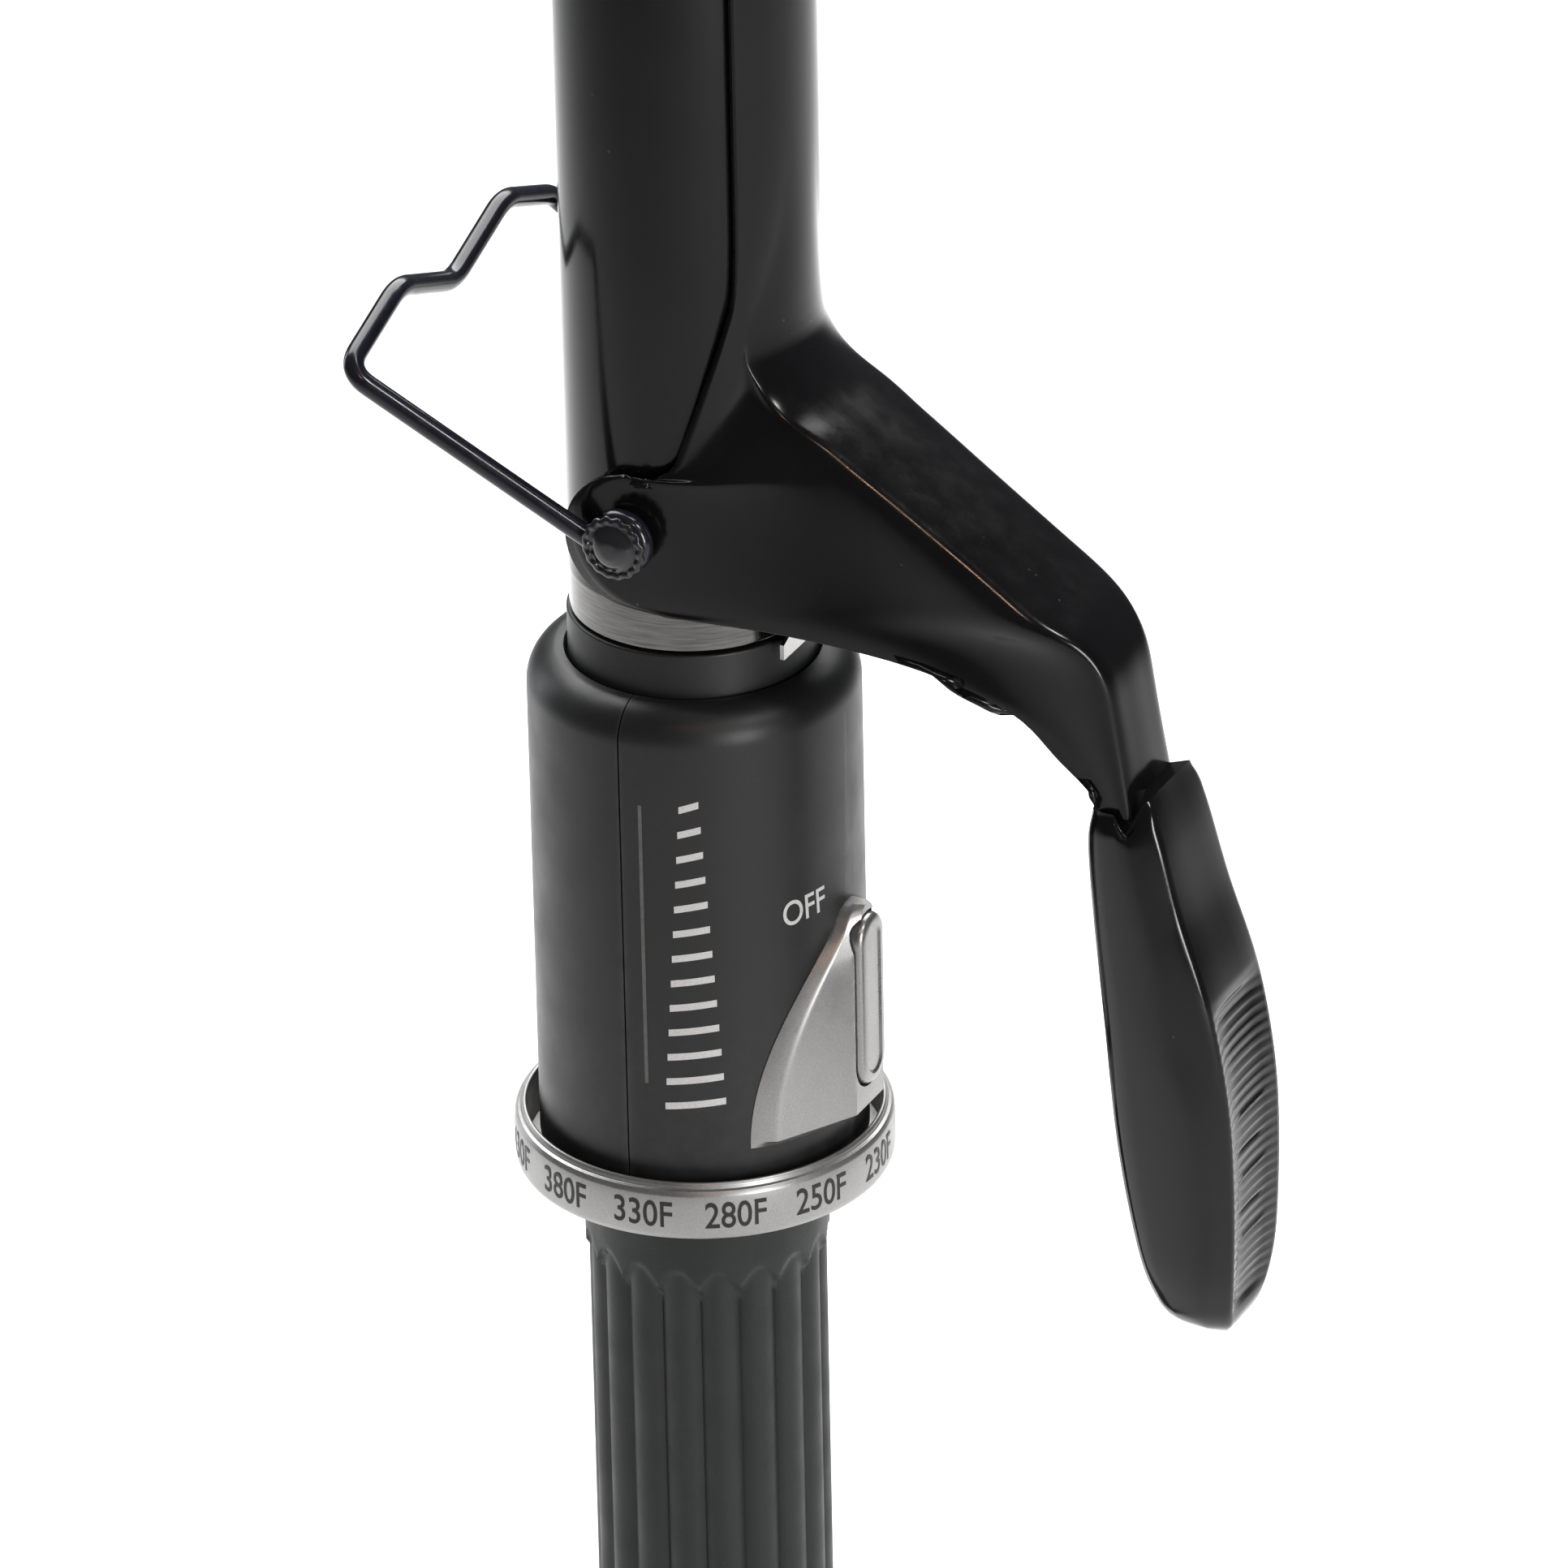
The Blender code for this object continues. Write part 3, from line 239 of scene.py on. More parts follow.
def bright_steel(name, colour=(0.56, 0.55, 0.54), rough=(0.2, 0.34), along=(1.0, 1.0, 0.05), metallic=1.0):
    """Drawn or turned steel with fine lines one way and a little tarnish."""
    m = Recipe(name)
    lines = m.noise(0.25, 3, 0.6, m.stretched(along))
    tint = m.mixed(m.ranged(m.noise(4, 4), 0.0, 0.6), colour, tuple(c * 0.72 for c in colour))
    roughness = m.ranged(lines, *rough)
    normal = m.bump(lines, 0.003)
    return m.finish(tint, roughness, normal, metallic=metallic)


def plain(name, colour, rough, metallic=0.0, grain=0.5, depth=0.01):
    m = Recipe(name)
    tint = m.mixed(m.ranged(m.noise(grain * 4, 3), 0.0, 1.0), colour, tuple(c * 0.75 for c in colour))
    roughness = m.ranged(m.noise(grain * 2, 3), rough * 0.85, min(rough * 1.2, 1.0))
    return m.finish(tint, roughness, m.bump(m.noise(grain, 2), depth), metallic=metallic)


def wire_coat():
    """Thick dark coating on drawn wire: glossy, a little lumpy and with a blue cast."""
    m = Recipe("wire_coat")
    lumps = m.noise(1.6, 3)
    tint = m.mixed(m.ranged(m.noise(5, 3), 0.0, 1.0), (0.006, 0.006, 0.010), (0.011, 0.011, 0.018))
    tint = m.mixed(m.specks(2.4, 0.15), tint, (0.14, 0.13, 0.14))
    return m.finish(tint, m.ranged(m.noise(1.8, 2), 0.14, 0.24), m.bump(lumps, 0.004), specular=0.5)


def barrel_coat():
    """Black enamel that ends above the barrel's foot, where the polished metal is bare."""
    m = Recipe("barrel_coat")
    height = m.add("ShaderNodeSeparateXYZ")
    m.link(m.place, height.inputs["Vector"])
    foot = BARREL_BASE * MM
    bare = m.ranged(height.outputs["Z"], 1.0, 0.0, foot + 0.0060, foot + 0.0061)
    cloud = m.noise(14, 3)
    wipe = m.noise(3.0, 4, 0.6, m.stretched((1.0, 1.0, 0.16)))
    tint = m.mixed(m.ranged(cloud, 0.0, 1.0), (0.003, 0.003, 0.0034), (0.0052, 0.0052, 0.006))
    tint = m.mixed(m.specks(2.2, 0.5), tint, (0.16, 0.16, 0.17))
    lines = m.noise(0.3, 3, 0.6, m.stretched((0.06, 0.06, 1.0)))
    metal = m.mixed(m.ranged(lines, 0.0, 1.0), (0.11, 0.108, 0.105), (0.19, 0.187, 0.183))
    tint = m.mixed(bare, tint, metal)
    roughness = m.math("ADD", m.ranged(wipe, 0.10, 0.19), m.ranged(m.noise(0.35, 2), 0.0, 0.03))
    material = m.finish(tint, roughness, m.bump(m.noise(2.6, 2), 0.0016), specular=0.30)
    m.link(bare, m.shader.inputs["Metallic"])
    return material


def board_green():
    """Green lacquer over copper tracks."""
    m = Recipe("board_green")
    tracks = m.add("ShaderNodeTexBrick")
    tracks.inputs["Scale"].default_value = 160
    tracks.inputs["Mortar Size"].default_value = 0.03
    m.link(m.stretched((1.0, 1.0, 2.0)), tracks.inputs["Vector"])
    tint = m.mixed(tracks.outputs["Fac"], (0.012, 0.10, 0.035), (0.03, 0.20, 0.06))
    return m.finish(tint, m.ranged(m.noise(2), 0.3, 0.5), m.bump(tracks.outputs["Fac"], 0.02))


MATERIALS = {
    "barrel": barrel_coat(),
    "enamel": enamel("clamp_enamel"),
    "gloss": enamel("thumb_gloss", (0.0035, 0.0035, 0.004), (0.10, 0.18), 0.003, 0.38),
    "tip": enamel("tip_gloss", (0.006, 0.006, 0.0065), (0.20, 0.32), 0.004, 0.42),
    "housing": moulded("housing_plastic", (0.0085, 0.0088, 0.0092), (0.36, 0.46), 0.30, 0.010),
    "neck": moulded("neck_plastic", (0.008, 0.0083, 0.0088), (0.38, 0.48), 0.30, 0.010),
    "grip": moulded("grip_plastic", (0.008, 0.009, 0.0092), (0.42, 0.55), 0.45, 0.02, 0.40),
    "silver": silver("satin_silver"),
    "rocker": silver("rocker_silver", 0.34, (0.22, 0.32)),
    "steel": bright_steel("steel"),
    "rivet": enamel("rivet_black", (0.010, 0.010, 0.012), (0.12, 0.22), 0.004, 0.6),
    "wire": wire_coat(),
    "aluminium": bright_steel("aluminium", (0.72, 0.72, 0.73), (0.32, 0.46)),
    "ceramic": plain("ceramic", (0.84, 0.83, 0.80), 0.5),
    "brass": bright_steel("brass", (0.72, 0.50, 0.20), (0.25, 0.4)),
    "board": board_green(),
    "component": plain("component", (0.03, 0.03, 0.035), 0.5),
    "red": plain("red_insulation", (0.45, 0.02, 0.015), 0.45),
    "white": plain("white_insulation", (0.75, 0.75, 0.73), 0.5),
    "print_silver": silver("print_silver", 0.58, (0.35, 0.45), 0.2),
    "print_grey": plain("print_grey", (0.11, 0.105, 0.10), 0.5, 0.0, 0.3, 0.003),
    "print_black": plain("print_black", (0.006, 0.006, 0.007), 0.45, 0.0, 0.3, 0.003),
}

SLOT_LOOKS = {
    "steel": "steel",
    "matte_black": "neck",
    "aluminium": "aluminium",
    "white_ceramic": "ceramic",
    "brass": "brass",
    "circuit_board": "board",
    "component": "component",
    "capacitor_red": "red",
    "red_lead": "red",
    "white_lead": "white",
    "barrel_enamel": "enamel",
    "gloss_black": "gloss",
    "soft_black": "grip",
    "satin_silver": "silver",
    "coated_wire": "wire",
}


def dress_nodes():
    """Gives every CAD node the material of its slot."""
    for part in frame["record"]["subparts"]:
        node = frame["nodes"][part["node"]]
        look = MATERIALS[SLOT_LOOKS[part["material_slot"]]]
        node.data.materials.clear()
        node.data.materials.append(look)


# ---------------------------------------------------------------- shapes

def piece(name, mesh, look, body, nodes=(), sharp=38.0):
    mesh.transform(Matrix.Scale(MM, 4))
    mesh.shade_smooth()
    mesh.set_sharp_from_angle(angle=math.radians(sharp))
    mesh.materials.append(MATERIALS[look])
    obj = bpy.data.objects.new(name, mesh)
    bpy.context.scene.collection.objects.link(obj)
    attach(obj, body)
    if nodes:
        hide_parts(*nodes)
    return obj


def to_mesh(name, bm):
    bmesh.ops.recalc_face_normals(bm, faces=bm.faces)
    mesh = bpy.data.meshes.new(name)
    bm.to_mesh(mesh)
    bm.free()
    return mesh


def eased_corner(a, corner, b, steps):
    """Points from a to b on the curve that leans on the corner."""
    return [(1 - t) ** 2 * a + 2 * t * (1 - t) * corner + t * t * b
            for t in [k / steps for k in range(steps + 1)]]


def rounded(points, radius, steps=4):
    """A closed outline with its corners rounded off."""
    out = []
    points = [Vector(p) for p in points]
    for i, corner in enumerate(points):
        before, after = points[i - 1], points[(i + 1) % len(points)]
        u, v = before - corner, after - corner
        reach = min(radius, u.length * 0.45, v.length * 0.45)
        turn = math.pi - u.angle(v)
        if corner.x < 1e-6 or turn < math.radians(12):
            out.append(corner)
            continue
        a, b = corner + u.normalized() * reach, corner + v.normalized() * reach
        out += eased_corner(a, corner, b, steps)
    return out


def lathe(name, profile, sides=SIDES, start=0.0, sweep=360.0):
    """A closed outline of (radius, height) points turned about Z."""
    bm = bmesh.new()
    whole = sweep >= 360.0
    count = sides if whole else sides + 1
    rings = []
    for i in range(count):
        a = math.radians(start + sweep * i / sides)
        rings.append([bm.verts.new((p[0] * math.cos(a), p[0] * math.sin(a), p[1])) for p in profile])
    for i in range(sides):
        a, b = rings[i], rings[(i + 1) % count]
        for j in range(len(profile)):
            k = (j + 1) % len(profile)
            bm.faces.new((a[j], b[j], b[k], a[k]))
    if not whole:
        bm.faces.new(rings[0])
        bm.faces.new(list(reversed(rings[-1])))
    bmesh.ops.remove_doubles(bm, verts=bm.verts, dist=1e-5)
    return to_mesh(name, bm)


def loft(name, rings, closed=True, caps=True):
    """Skin over a row of rings that all have the same number of points."""
    bm = bmesh.new()
    rows = [[bm.verts.new(p) for p in ring] for ring in rings]
    for a, b in zip(rows, rows[1:]):
        for i in range(len(a) if closed else len(a) - 1):
            n = (i + 1) % len(a)
            bm.faces.new((a[i], b[i], b[n], a[n]))
    if caps and closed:
        bm.faces.new(rows[0])
        bm.faces.new(list(reversed(rows[-1])))
    return to_mesh(name, bm)


def weld(mesh, distance):
    """Joins the first and last rows of a skin that closes on itself."""
    bm = bmesh.new()
    bm.from_mesh(mesh)
    bmesh.ops.remove_doubles(bm, verts=bm.verts, dist=distance)
    bmesh.ops.recalc_face_normals(bm, faces=bm.faces)
    bm.to_mesh(mesh)
    bm.free()


def arc(centre, radius, start, end, steps):
    angles = [math.radians(start + (end - start) * i / steps) for i in range(steps + 1)]
    return [(centre[0] + radius * math.cos(a), centre[1] + radius * math.sin(a)) for a in angles]


def smooth(t):
    t = min(max(t, 0.0), 1.0)
    return t * t * (3 - 2 * t)


def evenly(points, count):
    points = [Vector(p) for p in points]
    reach = [0.0]
    for a, b in zip(points, points[1:]):
        reach.append(reach[-1] + (b - a).length)
    found = []
    k = 0
    for i in range(count):
        want = reach[-1] * i / (count - 1)
        while k < len(points) - 2 and reach[k + 1] < want:
            k += 1
        gap = reach[k + 1] - reach[k]
        found.append(points[k].lerp(points[k + 1], (want - reach[k]) / gap if gap else 0.0))
    return found


def curve_through(points, count):
    ends = [2 * Vector(points[0]) - Vector(points[1])] + [Vector(p) for p in points]
    ends += [2 * Vector(points[-1]) - Vector(points[-2])]
    dense = []
    for i in range(1, len(ends) - 2):
        a, b, c, d = ends[i - 1:i + 3]
        for k in range(16):
            t = k / 16
            dense.append(0.5 * (2 * b + (c - a) * t + (2 * a - 5 * b + 4 * c - d) * t ** 2
                                + (3 * b - a - 3 * c + d) * t ** 3))
    dense.append(ends[-2])
    return evenly(dense, count)


def blend_of(table, at):
    """Value read between the points of a short list of (place, value), smoothly."""
    if at <= table[0][0]:
        return table[0][1]
    for (a, va), (b, vb) in zip(table, table[1:]):
        if at <= b:
            return va + (vb - va) * smooth((at - a) / (b - a))
    return table[-1][1]


def wire(name, points, radius, look, body, nodes=(), resolution=6):
    curve = bpy.data.curves.new(name, "CURVE")
    curve.dimensions = "3D"
    curve.bevel_depth = radius * MM
    curve.bevel_resolution = resolution
    curve.use_fill_caps = True
    spline = curve.splines.new("POLY")
    spline.points.add(len(points) - 1)
    for target, point in zip(spline.points, points):
        target.co = (*[c * MM for c in point], 1.0)
    curve.materials.append(MATERIALS[look])
    obj = bpy.data.objects.new(name, curve)
    bpy.context.scene.collection.objects.link(obj)
    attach(obj, body)
    if nodes:
        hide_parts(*nodes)


def modifier(obj, kind, name, **settings):
    step = obj.modifiers.new(name, kind)
    for key, value in settings.items():
        setattr(step, key, value)


# ---------------------------------------------------------------- barrel and tip

def barrel():
    inner = BARREL_RADIUS - 1.0
    outline = rounded([(inner, BARREL_BASE), (BARREL_RADIUS, BARREL_BASE), (BARREL_RADIUS, BARREL_TOP),
                       (inner, BARREL_TOP)], 0.35)
    piece("barrel_skin", lathe("barrel_skin", outline), "barrel", "handle", ["barrel_tube"])
    plug = PLUG_HIGH.x
    seat, stem, bore = BARREL_TOP + GAP, BARREL_RADIUS - 1.3, 2.2
    outline = rounded([(bore, PLUG_LOW.z), (stem, PLUG_LOW.z), (stem, seat), (plug, seat),
                       (plug, PLUG_HIGH.z), (bore, PLUG_HIGH.z)], 0.3)
    piece("tip_washer", lathe("tip_washer", outline), "ceramic", "handle", ["tip_insulator"])


def cool_tip():
    """Moulded tip with shallow ribs round it, so that it can be held."""
    base, top, radius = TIP_LOW.z, TIP_HIGH.z, TIP_HIGH.x
    outline = [(2.2, base), (radius - 0.5, base), (radius, base + 0.5), (radius, base + 3.0)]
    for i in range(5):
        z = base + 3.6 + i * 2.1
        outline += [(radius - 0.55, z), (radius - 0.55, z + 0.5), (radius, z + 1.0), (radius, z + 1.6)]
    outline += arc((radius - 4, top - 4), 4, 0, 90, 12)
    outline += [(3.9, top), (3.6, top - 0.3), (3.6, top - 12), (2.2, top - 12)]
    piece("cool_tip_moulding", lathe("cool_tip_moulding", rounded(outline, 0.25, 3)), "tip",
          "handle", ["cool_tip"], 50)


# ---------------------------------------------------------------- neck and housing

def neck():
    bore = BARREL_RADIUS - 5
    foot = HOUSING_TOP - 2.1
    outline = rounded([
        (bore, foot - 3), (NECK_RADIUS + 1.4, foot - 3), (NECK_RADIUS + 1.4, foot), (NECK_RADIUS, foot),
        (NECK_RADIUS, BARREL_BASE - GAP), (BARREL_RADIUS - 1.3, BARREL_BASE - GAP),
        (BARREL_RADIUS - 1.3, BARREL_BASE + 10), (bore, BARREL_BASE + 10)], 0.35)
    piece("neck_moulding", lathe("neck_moulding", outline), "neck", "handle", ["neck_collar"])


def pill(half_length, half_width, steps=12):
    reach = half_length - half_width
    return arc((0, reach), half_width, 0, 180, steps) + arc((0, -reach), half_width, 180, 360, steps)


def switch_middle():
    return (ROCKER_LOW.z + ROCKER_HIGH.z) / 2


def housing_outline():
    """Section of the shell: an eased neck opening, a rounded shoulder, a long wall and a floor."""
    r, b = HOUSING_RADIUS, HOUSING_RADIUS - 1.9
    shoulder = 5.2
    opening = NECK_RADIUS + GAP
    top = HOUSING_TOP + 0.1
    outline = [(opening, top - 1.9), (opening, top - 0.5), (opening + 0.25, top - 0.15)]
    outline += arc((r - shoulder, top - shoulder), shoulder, 76, 0, 18)
    outline += [(r, top - shoulder - 1.2), (r, HOUSING_BOTTOM + 0.4), (r - 0.4, HOUSING_BOTTOM)]
    floor = GRIP_RADIUS - 2.5
    outline += [(floor, HOUSING_BOTTOM), (floor, HOUSING_BOTTOM + 2), (b, HOUSING_BOTTOM + 2)]
    outline += arc((b - 3.3, top - 1.9 - 3.3), 3.3, 0, 84, 8)
    return outline


def cut_rocker_slot(shell, clearance, depths):
    """Cuts the rocker's pill-shaped slot, wider by the clearance, between two depths along X."""
    middle = switch_middle()
    outline = pill((ROCKER_HIGH.z - ROCKER_LOW.z) / 2 + clearance, ROCKER_HIGH.y + clearance)
    slot = loft("rocker_slot", [[(x, y, z + middle) for y, z in outline] for x in depths])
    slot.transform(Matrix.Scale(MM, 4))
    cutter = bpy.data.objects.new("rocker_slot", slot)
    bpy.context.scene.collection.objects.link(cutter)
    modifier(shell, "BOOLEAN", "slot", object=cutter, operation="DIFFERENCE", solver="EXACT")
    bpy.context.view_layer.update()
    cut = bpy.data.meshes.new_from_object(shell.evaluated_get(bpy.context.evaluated_depsgraph_get()))
    shell.modifiers.clear()
    shell.data = cut
    bpy.data.objects.remove(cutter)


def housing():
    """Front and rear shells, with a thin seam between them."""
    seam, sides = 0.30, 128
    front = lathe("housing_front_shell", housing_outline(), sides, -90 + seam, 180 - 2 * seam)
    shell = piece("housing_front_shell", front, "housing", "handle", ["housing_front"])
    cut_rocker_slot(shell, 0.6, (14, 40))
    rear = lathe("housing_rear_shell", housing_outline(), sides, 90 + seam, 180 - 2 * seam)
    piece("housing_rear_shell", rear, "housing", "handle", ["housing_rear"])


# ---------------------------------------------------------------- marks

def wrapped(name, mesh, radius, angle, z, look, body, scale=(1.0, 1.0), turn=0.0):
    """A flat mark in (x, y), wrapped round a cylinder with its middle at the angle and height."""
    xs = [v.co.x for v in mesh.vertices]
    ys = [v.co.y for v in mesh.vertices]
    mx, my = (min(xs) + max(xs)) / 2, (min(ys) + max(ys)) / 2
    c, s = math.cos(math.radians(turn)), math.sin(math.radians(turn))
    for v in mesh.vertices:
        x, y = (v.co.x - mx) * scale[0], (v.co.y - my) * scale[1]
        x, y = x * c - y * s, x * s + y * c
        a = math.radians(angle) + x / radius
        v.co = (radius * math.cos(a), radius * math.sin(a), z + y)
    return piece(name, mesh, look, body)


def figures(text, height):
    """Flat outlines of generic figures, with the capitals' height in millimetres."""
    curve = bpy.data.curves.new("figures", "FONT")
    curve.body = text
    curve.size = height / 0.69
    curve.resolution_u = 6
    curve.offset = height * 0.012
    holder = bpy.data.objects.new("figures", curve)
    bpy.context.scene.collection.objects.link(holder)
    bpy.context.view_layer.update()
    mesh = bpy.data.meshes.new_from_object(holder.evaluated_get(bpy.context.evaluated_depsgraph_get()))
    bpy.data.objects.remove(holder)
    bm = bmesh.new()
    bm.from_mesh(mesh)
    bmesh.ops.triangulate(bm, faces=bm.faces)
    for _ in range(2):
        long_edges = [e for e in bm.edges if e.calc_length() > height * 0.3]
        bmesh.ops.subdivide_edges(bm, edges=long_edges, cuts=1)
        bmesh.ops.triangulate(bm, faces=bm.faces)
    bm.to_mesh(mesh)
    bm.free()
    mesh.materials.clear()
    return mesh


def strip(outline):
    """A flat mark from a four-cornered outline, divided so that it can follow a curve."""
    a, b, c, d = [Vector((*p, 0)) for p in outline]
    bm = bmesh.new()
    steps = 12
    rows = [[bm.verts.new(a.lerp(b, i / steps).lerp(d.lerp(c, i / steps), t)) for t in (0, 1)]
            for i in range(steps + 1)]
    for p, q in zip(rows, rows[1:]):
        bm.faces.new((p[0], q[0], q[1], p[1]))
    mesh = bpy.data.meshes.new("strip")
    bm.to_mesh(mesh)
    bm.free()
    return mesh


def marks():
    """Printed marks: the dial's figures, OFF beside the switch, and a plain row of heat bars."""
    dial_marks = (("430F", -139.1), ("380F", -110.7), ("330F", -82.2), ("280F", -53.9), ("250F", -25.5),
                  ("230F", 3.0))
    figure_height, figure_level = 3.7, PIVOT - 95.05
    for value, angle in dial_marks:
        wrapped("dial_figure_" + value[:3], figures(value, figure_height), RING_RADIUS + 0.03, angle,
                figure_level, "print_black", "dial", (0.80, 1.0))
    radius = HOUSING_RADIUS + 0.04
    wrapped("switch_mark", figures("OFF", 3.5), radius, -23.8, PIVOT - 53.9, "print_silver",
            "handle", (0.82, 1.0), 3)
    count, top_bar, row_length = 13, PIVOT - 36.4, 43.8
    for i in range(count):
        t = i / (count - 1)
        width = 2.6 + 5.4 * t
        outline = ((-width / 2, -0.9), (width / 2, -0.1), (width / 2, 0.9), (-width / 2, 0.1))
        wrapped(f"heat_bar_{i + 1}", strip(outline), radius, -65.6, top_bar - row_length * t,
                "print_silver", "handle")
    line = ((-0.25, -20.5), (-0.25, 20.5), (0.25, 20.5), (0.25, -20.5))
    wrapped("heat_line", strip(line), radius, -82.5, PIVOT - 57.0, "print_grey", "handle")


# ---------------------------------------------------------------- switch

def bezel_section(angle, edge, rim, ridge, ridge_y):
    """Radius of the bezel's face: a narrow outer bevel, then a flat facet up to the frame."""
    a, e = math.radians(abs(angle)), math.radians(edge)
    inner = e * 0.82
    if a >= inner:
        t = (a - inner) / max(e - inner, 1e-6)
        return rim + 1.15 - 1.45 * t
    start = Vector(((rim + 1.15) * math.cos(inner), (rim + 1.15) * math.sin(inner)))
    end = Vector((ridge, min(ridge_y, start.y * 0.6)))
    side, ray = end - start, Vector((math.cos(a), math.sin(a)))
    r = (start.x * side.y - start.y * side.x) / (ray.x * side.y - ray.y * side.x)
    if r * math.sin(a) < end.y:
        r = ridge / math.cos(a)
    return r


def bezel():
    foot, top = BEZEL_LOW.z, BEZEL_HIGH.z + 0.1
    half_width = ROCKER_HIGH.y + 1.7
    ridge = BEZEL_HIGH.x
    rows, columns = 60, 72
    under = HOUSING_RADIUS - 0.2
    rim = HOUSING_RADIUS + 0.45
    outer, inner = [], []
    for i in range(rows + 1):
        z = foot + (i / rows) * (top - foot - 0.12)
        arch = 47.0 * (1 - ((z - foot) / (top - foot)) ** 2) ** 0.85
        reach = math.sqrt(max(half_width ** 2 - max(z - top + half_width, 0) ** 2, 0.01))
        edge = max(arch, math.degrees(math.asin(reach / ridge)))
        ease = smooth((z - foot) / 1.0) * 0.8 + 0.2
        line_out, line_in = [], []
        for j in range(columns + 1):
            angle = edge * (2 * j / columns - 1)
            c, s = math.cos(math.radians(angle)), math.sin(math.radians(angle))
            r = bezel_section(angle, edge, rim, ridge, ROCKER_HIGH.y + 0.5)
            r = rim - 0.2 + (r - rim + 0.2) * ease
            line_out.append((r * c, r * s, z))
            line_in.append((under * c, under * s, z))
        outer.append(line_out)
        inner.append(line_in)
    rings = [a + list(reversed(b)) for a, b in zip(outer, inner)]
    plate = piece("switch_bezel_plate", loft("switch_bezel_plate", rings), "silver", "handle",
                  ["switch_bezel"], 24)
    cut_rocker_slot(plate, 0.45, (18, 40))


def rocker():
    middle = switch_middle()
    half_length, half_width = (ROCKER_HIGH.z - ROCKER_LOW.z) / 2, ROCKER_HIGH.y
    face = ROCKER_HIGH.x
    rings = []
    steps = ((ROCKER_LOW.x, 0.0), (face - 1.0, 0.0), (face - 0.55, 0.12), (face - 0.2, 0.42), (face, 0.95),
             (face, 1.5), (face - 0.25, 1.9))
    for x, inset in steps:
        outline = pill(half_length - inset, half_width - inset)
        rings.append([(x, y, z + middle) for y, z in outline])
    piece("rocker_cap", loft("rocker_cap", rings), "rocker", "rocker", ["switch_rocker"], 30)


# ---------------------------------------------------------------- dial ring

def ring():
    wall = RING_RADIUS - 1.7
    lip = RING_RADIUS - 0.9
    hole = GRIP_RADIUS - 2.6
    r, low, top = RING_RADIUS, RING_BOTTOM, RING_TOP
    outline = [
        (hole, low), (r - 0.9, low), (r - 0.35, low + 0.35), (r - 0.12, low + 1.0), (r, low + 2.6),
        (r, top - 3.0), (r - 0.12, top - 1.5), (r - 0.45, top - 0.85), (lip - 0.05, top - 0.8),
        (lip - 0.12, top - 0.35), (lip - 0.35, top), (wall + 0.15, top), (wall, top - 0.15),
        (wall, low + 1.6), (hole, low + 1.6)]
    piece("dial_ring_skin", lathe("dial_ring_skin", rounded(outline, 0.12, 2)), "silver",
          "dial",
          ["dial_ring"], 30)


# ---------------------------------------------------------------- grip, cap and cord inlet

def grip():
    """Eighteen rounded ribs with narrow valleys, whose arched tops run out under a smooth collar."""
    per_rib, ribs = 14, 18
    sides = ribs * per_rib
    inner = GRIP_RADIUS - 2.5
    collar = 9.5
    levels = [GRIP_TOP - 0.9 * t * t for t in (0, 0.5, 1)]
    levels += [GRIP_TOP - 1 - 0.5 * i for i in range(36)]
    levels += [GRIP_TOP - 20 - 6 * i for i in range(11)]
    levels += [GRIP_BOTTOM + 19 - 0.5 * i for i in range(37)] + [GRIP_BOTTOM + 0.3, GRIP_BOTTOM]
    rings = []
    for z in levels:
        end = min(GRIP_TOP - z, z - GRIP_BOTTOM)
        ring_points = []
        for i in range(sides):
            degrees = 360 * i / sides
            phase = ((degrees + 7.5) / 20) % 1.0
            rib = math.sin(math.pi * phase)
            start = collar + 3.2 * (1 - rib ** 0.8)
            depth = smooth((end - start) / 1.6)
            r = GRIP_RADIUS - 0.42 * smooth((end - start + 0.2) / 0.5) - 1.15 * depth * (1 - rib ** 0.62)
            r -= 0.3 * (1 - smooth(end / 0.6))
            a = math.radians(degrees)
            ring_points.append((r * math.cos(a), r * math.sin(a), z))
        rings.append(ring_points)
    turns = [2 * math.pi * i / sides for i in range(sides)]
    for z in (GRIP_BOTTOM, GRIP_TOP):
        rings.append([(inner * math.cos(a), inner * math.sin(a), z) for a in turns])
    rings.append(rings[0])
    mesh = loft("grip_sleeve", rings, caps=False)
    weld(mesh, 1e-5)
    piece("grip_sleeve", mesh, "grip", "handle", ["handle_grip"], 42)


def cap():
    top, bottom, bore = GRIP_BOTTOM - GAP, CAP_BOTTOM, 6.7
    r, spigot, corner = GRIP_RADIUS, GRIP_RADIUS - 5.4, 4
    outline = [(bore, top + 6), (spigot, top + 6), (spigot, top), (r - 0.5, top), (r, top - 0.5), (r,
                                                                                                   top - 2.0),
               (r - 0.4, top - 2.3), (r - 0.4, top - 2.8), (r, top - 3.1)]
    outline += arc((r - corner, bottom + corner), corner, 0, -90, 12)
    outline += [(bore + 0.4, bottom), (bore, bottom + 0.4)]
    piece("end_cap_moulding", lathe("end_cap_moulding", outline), "housing", "handle",
          ["end_cap"])


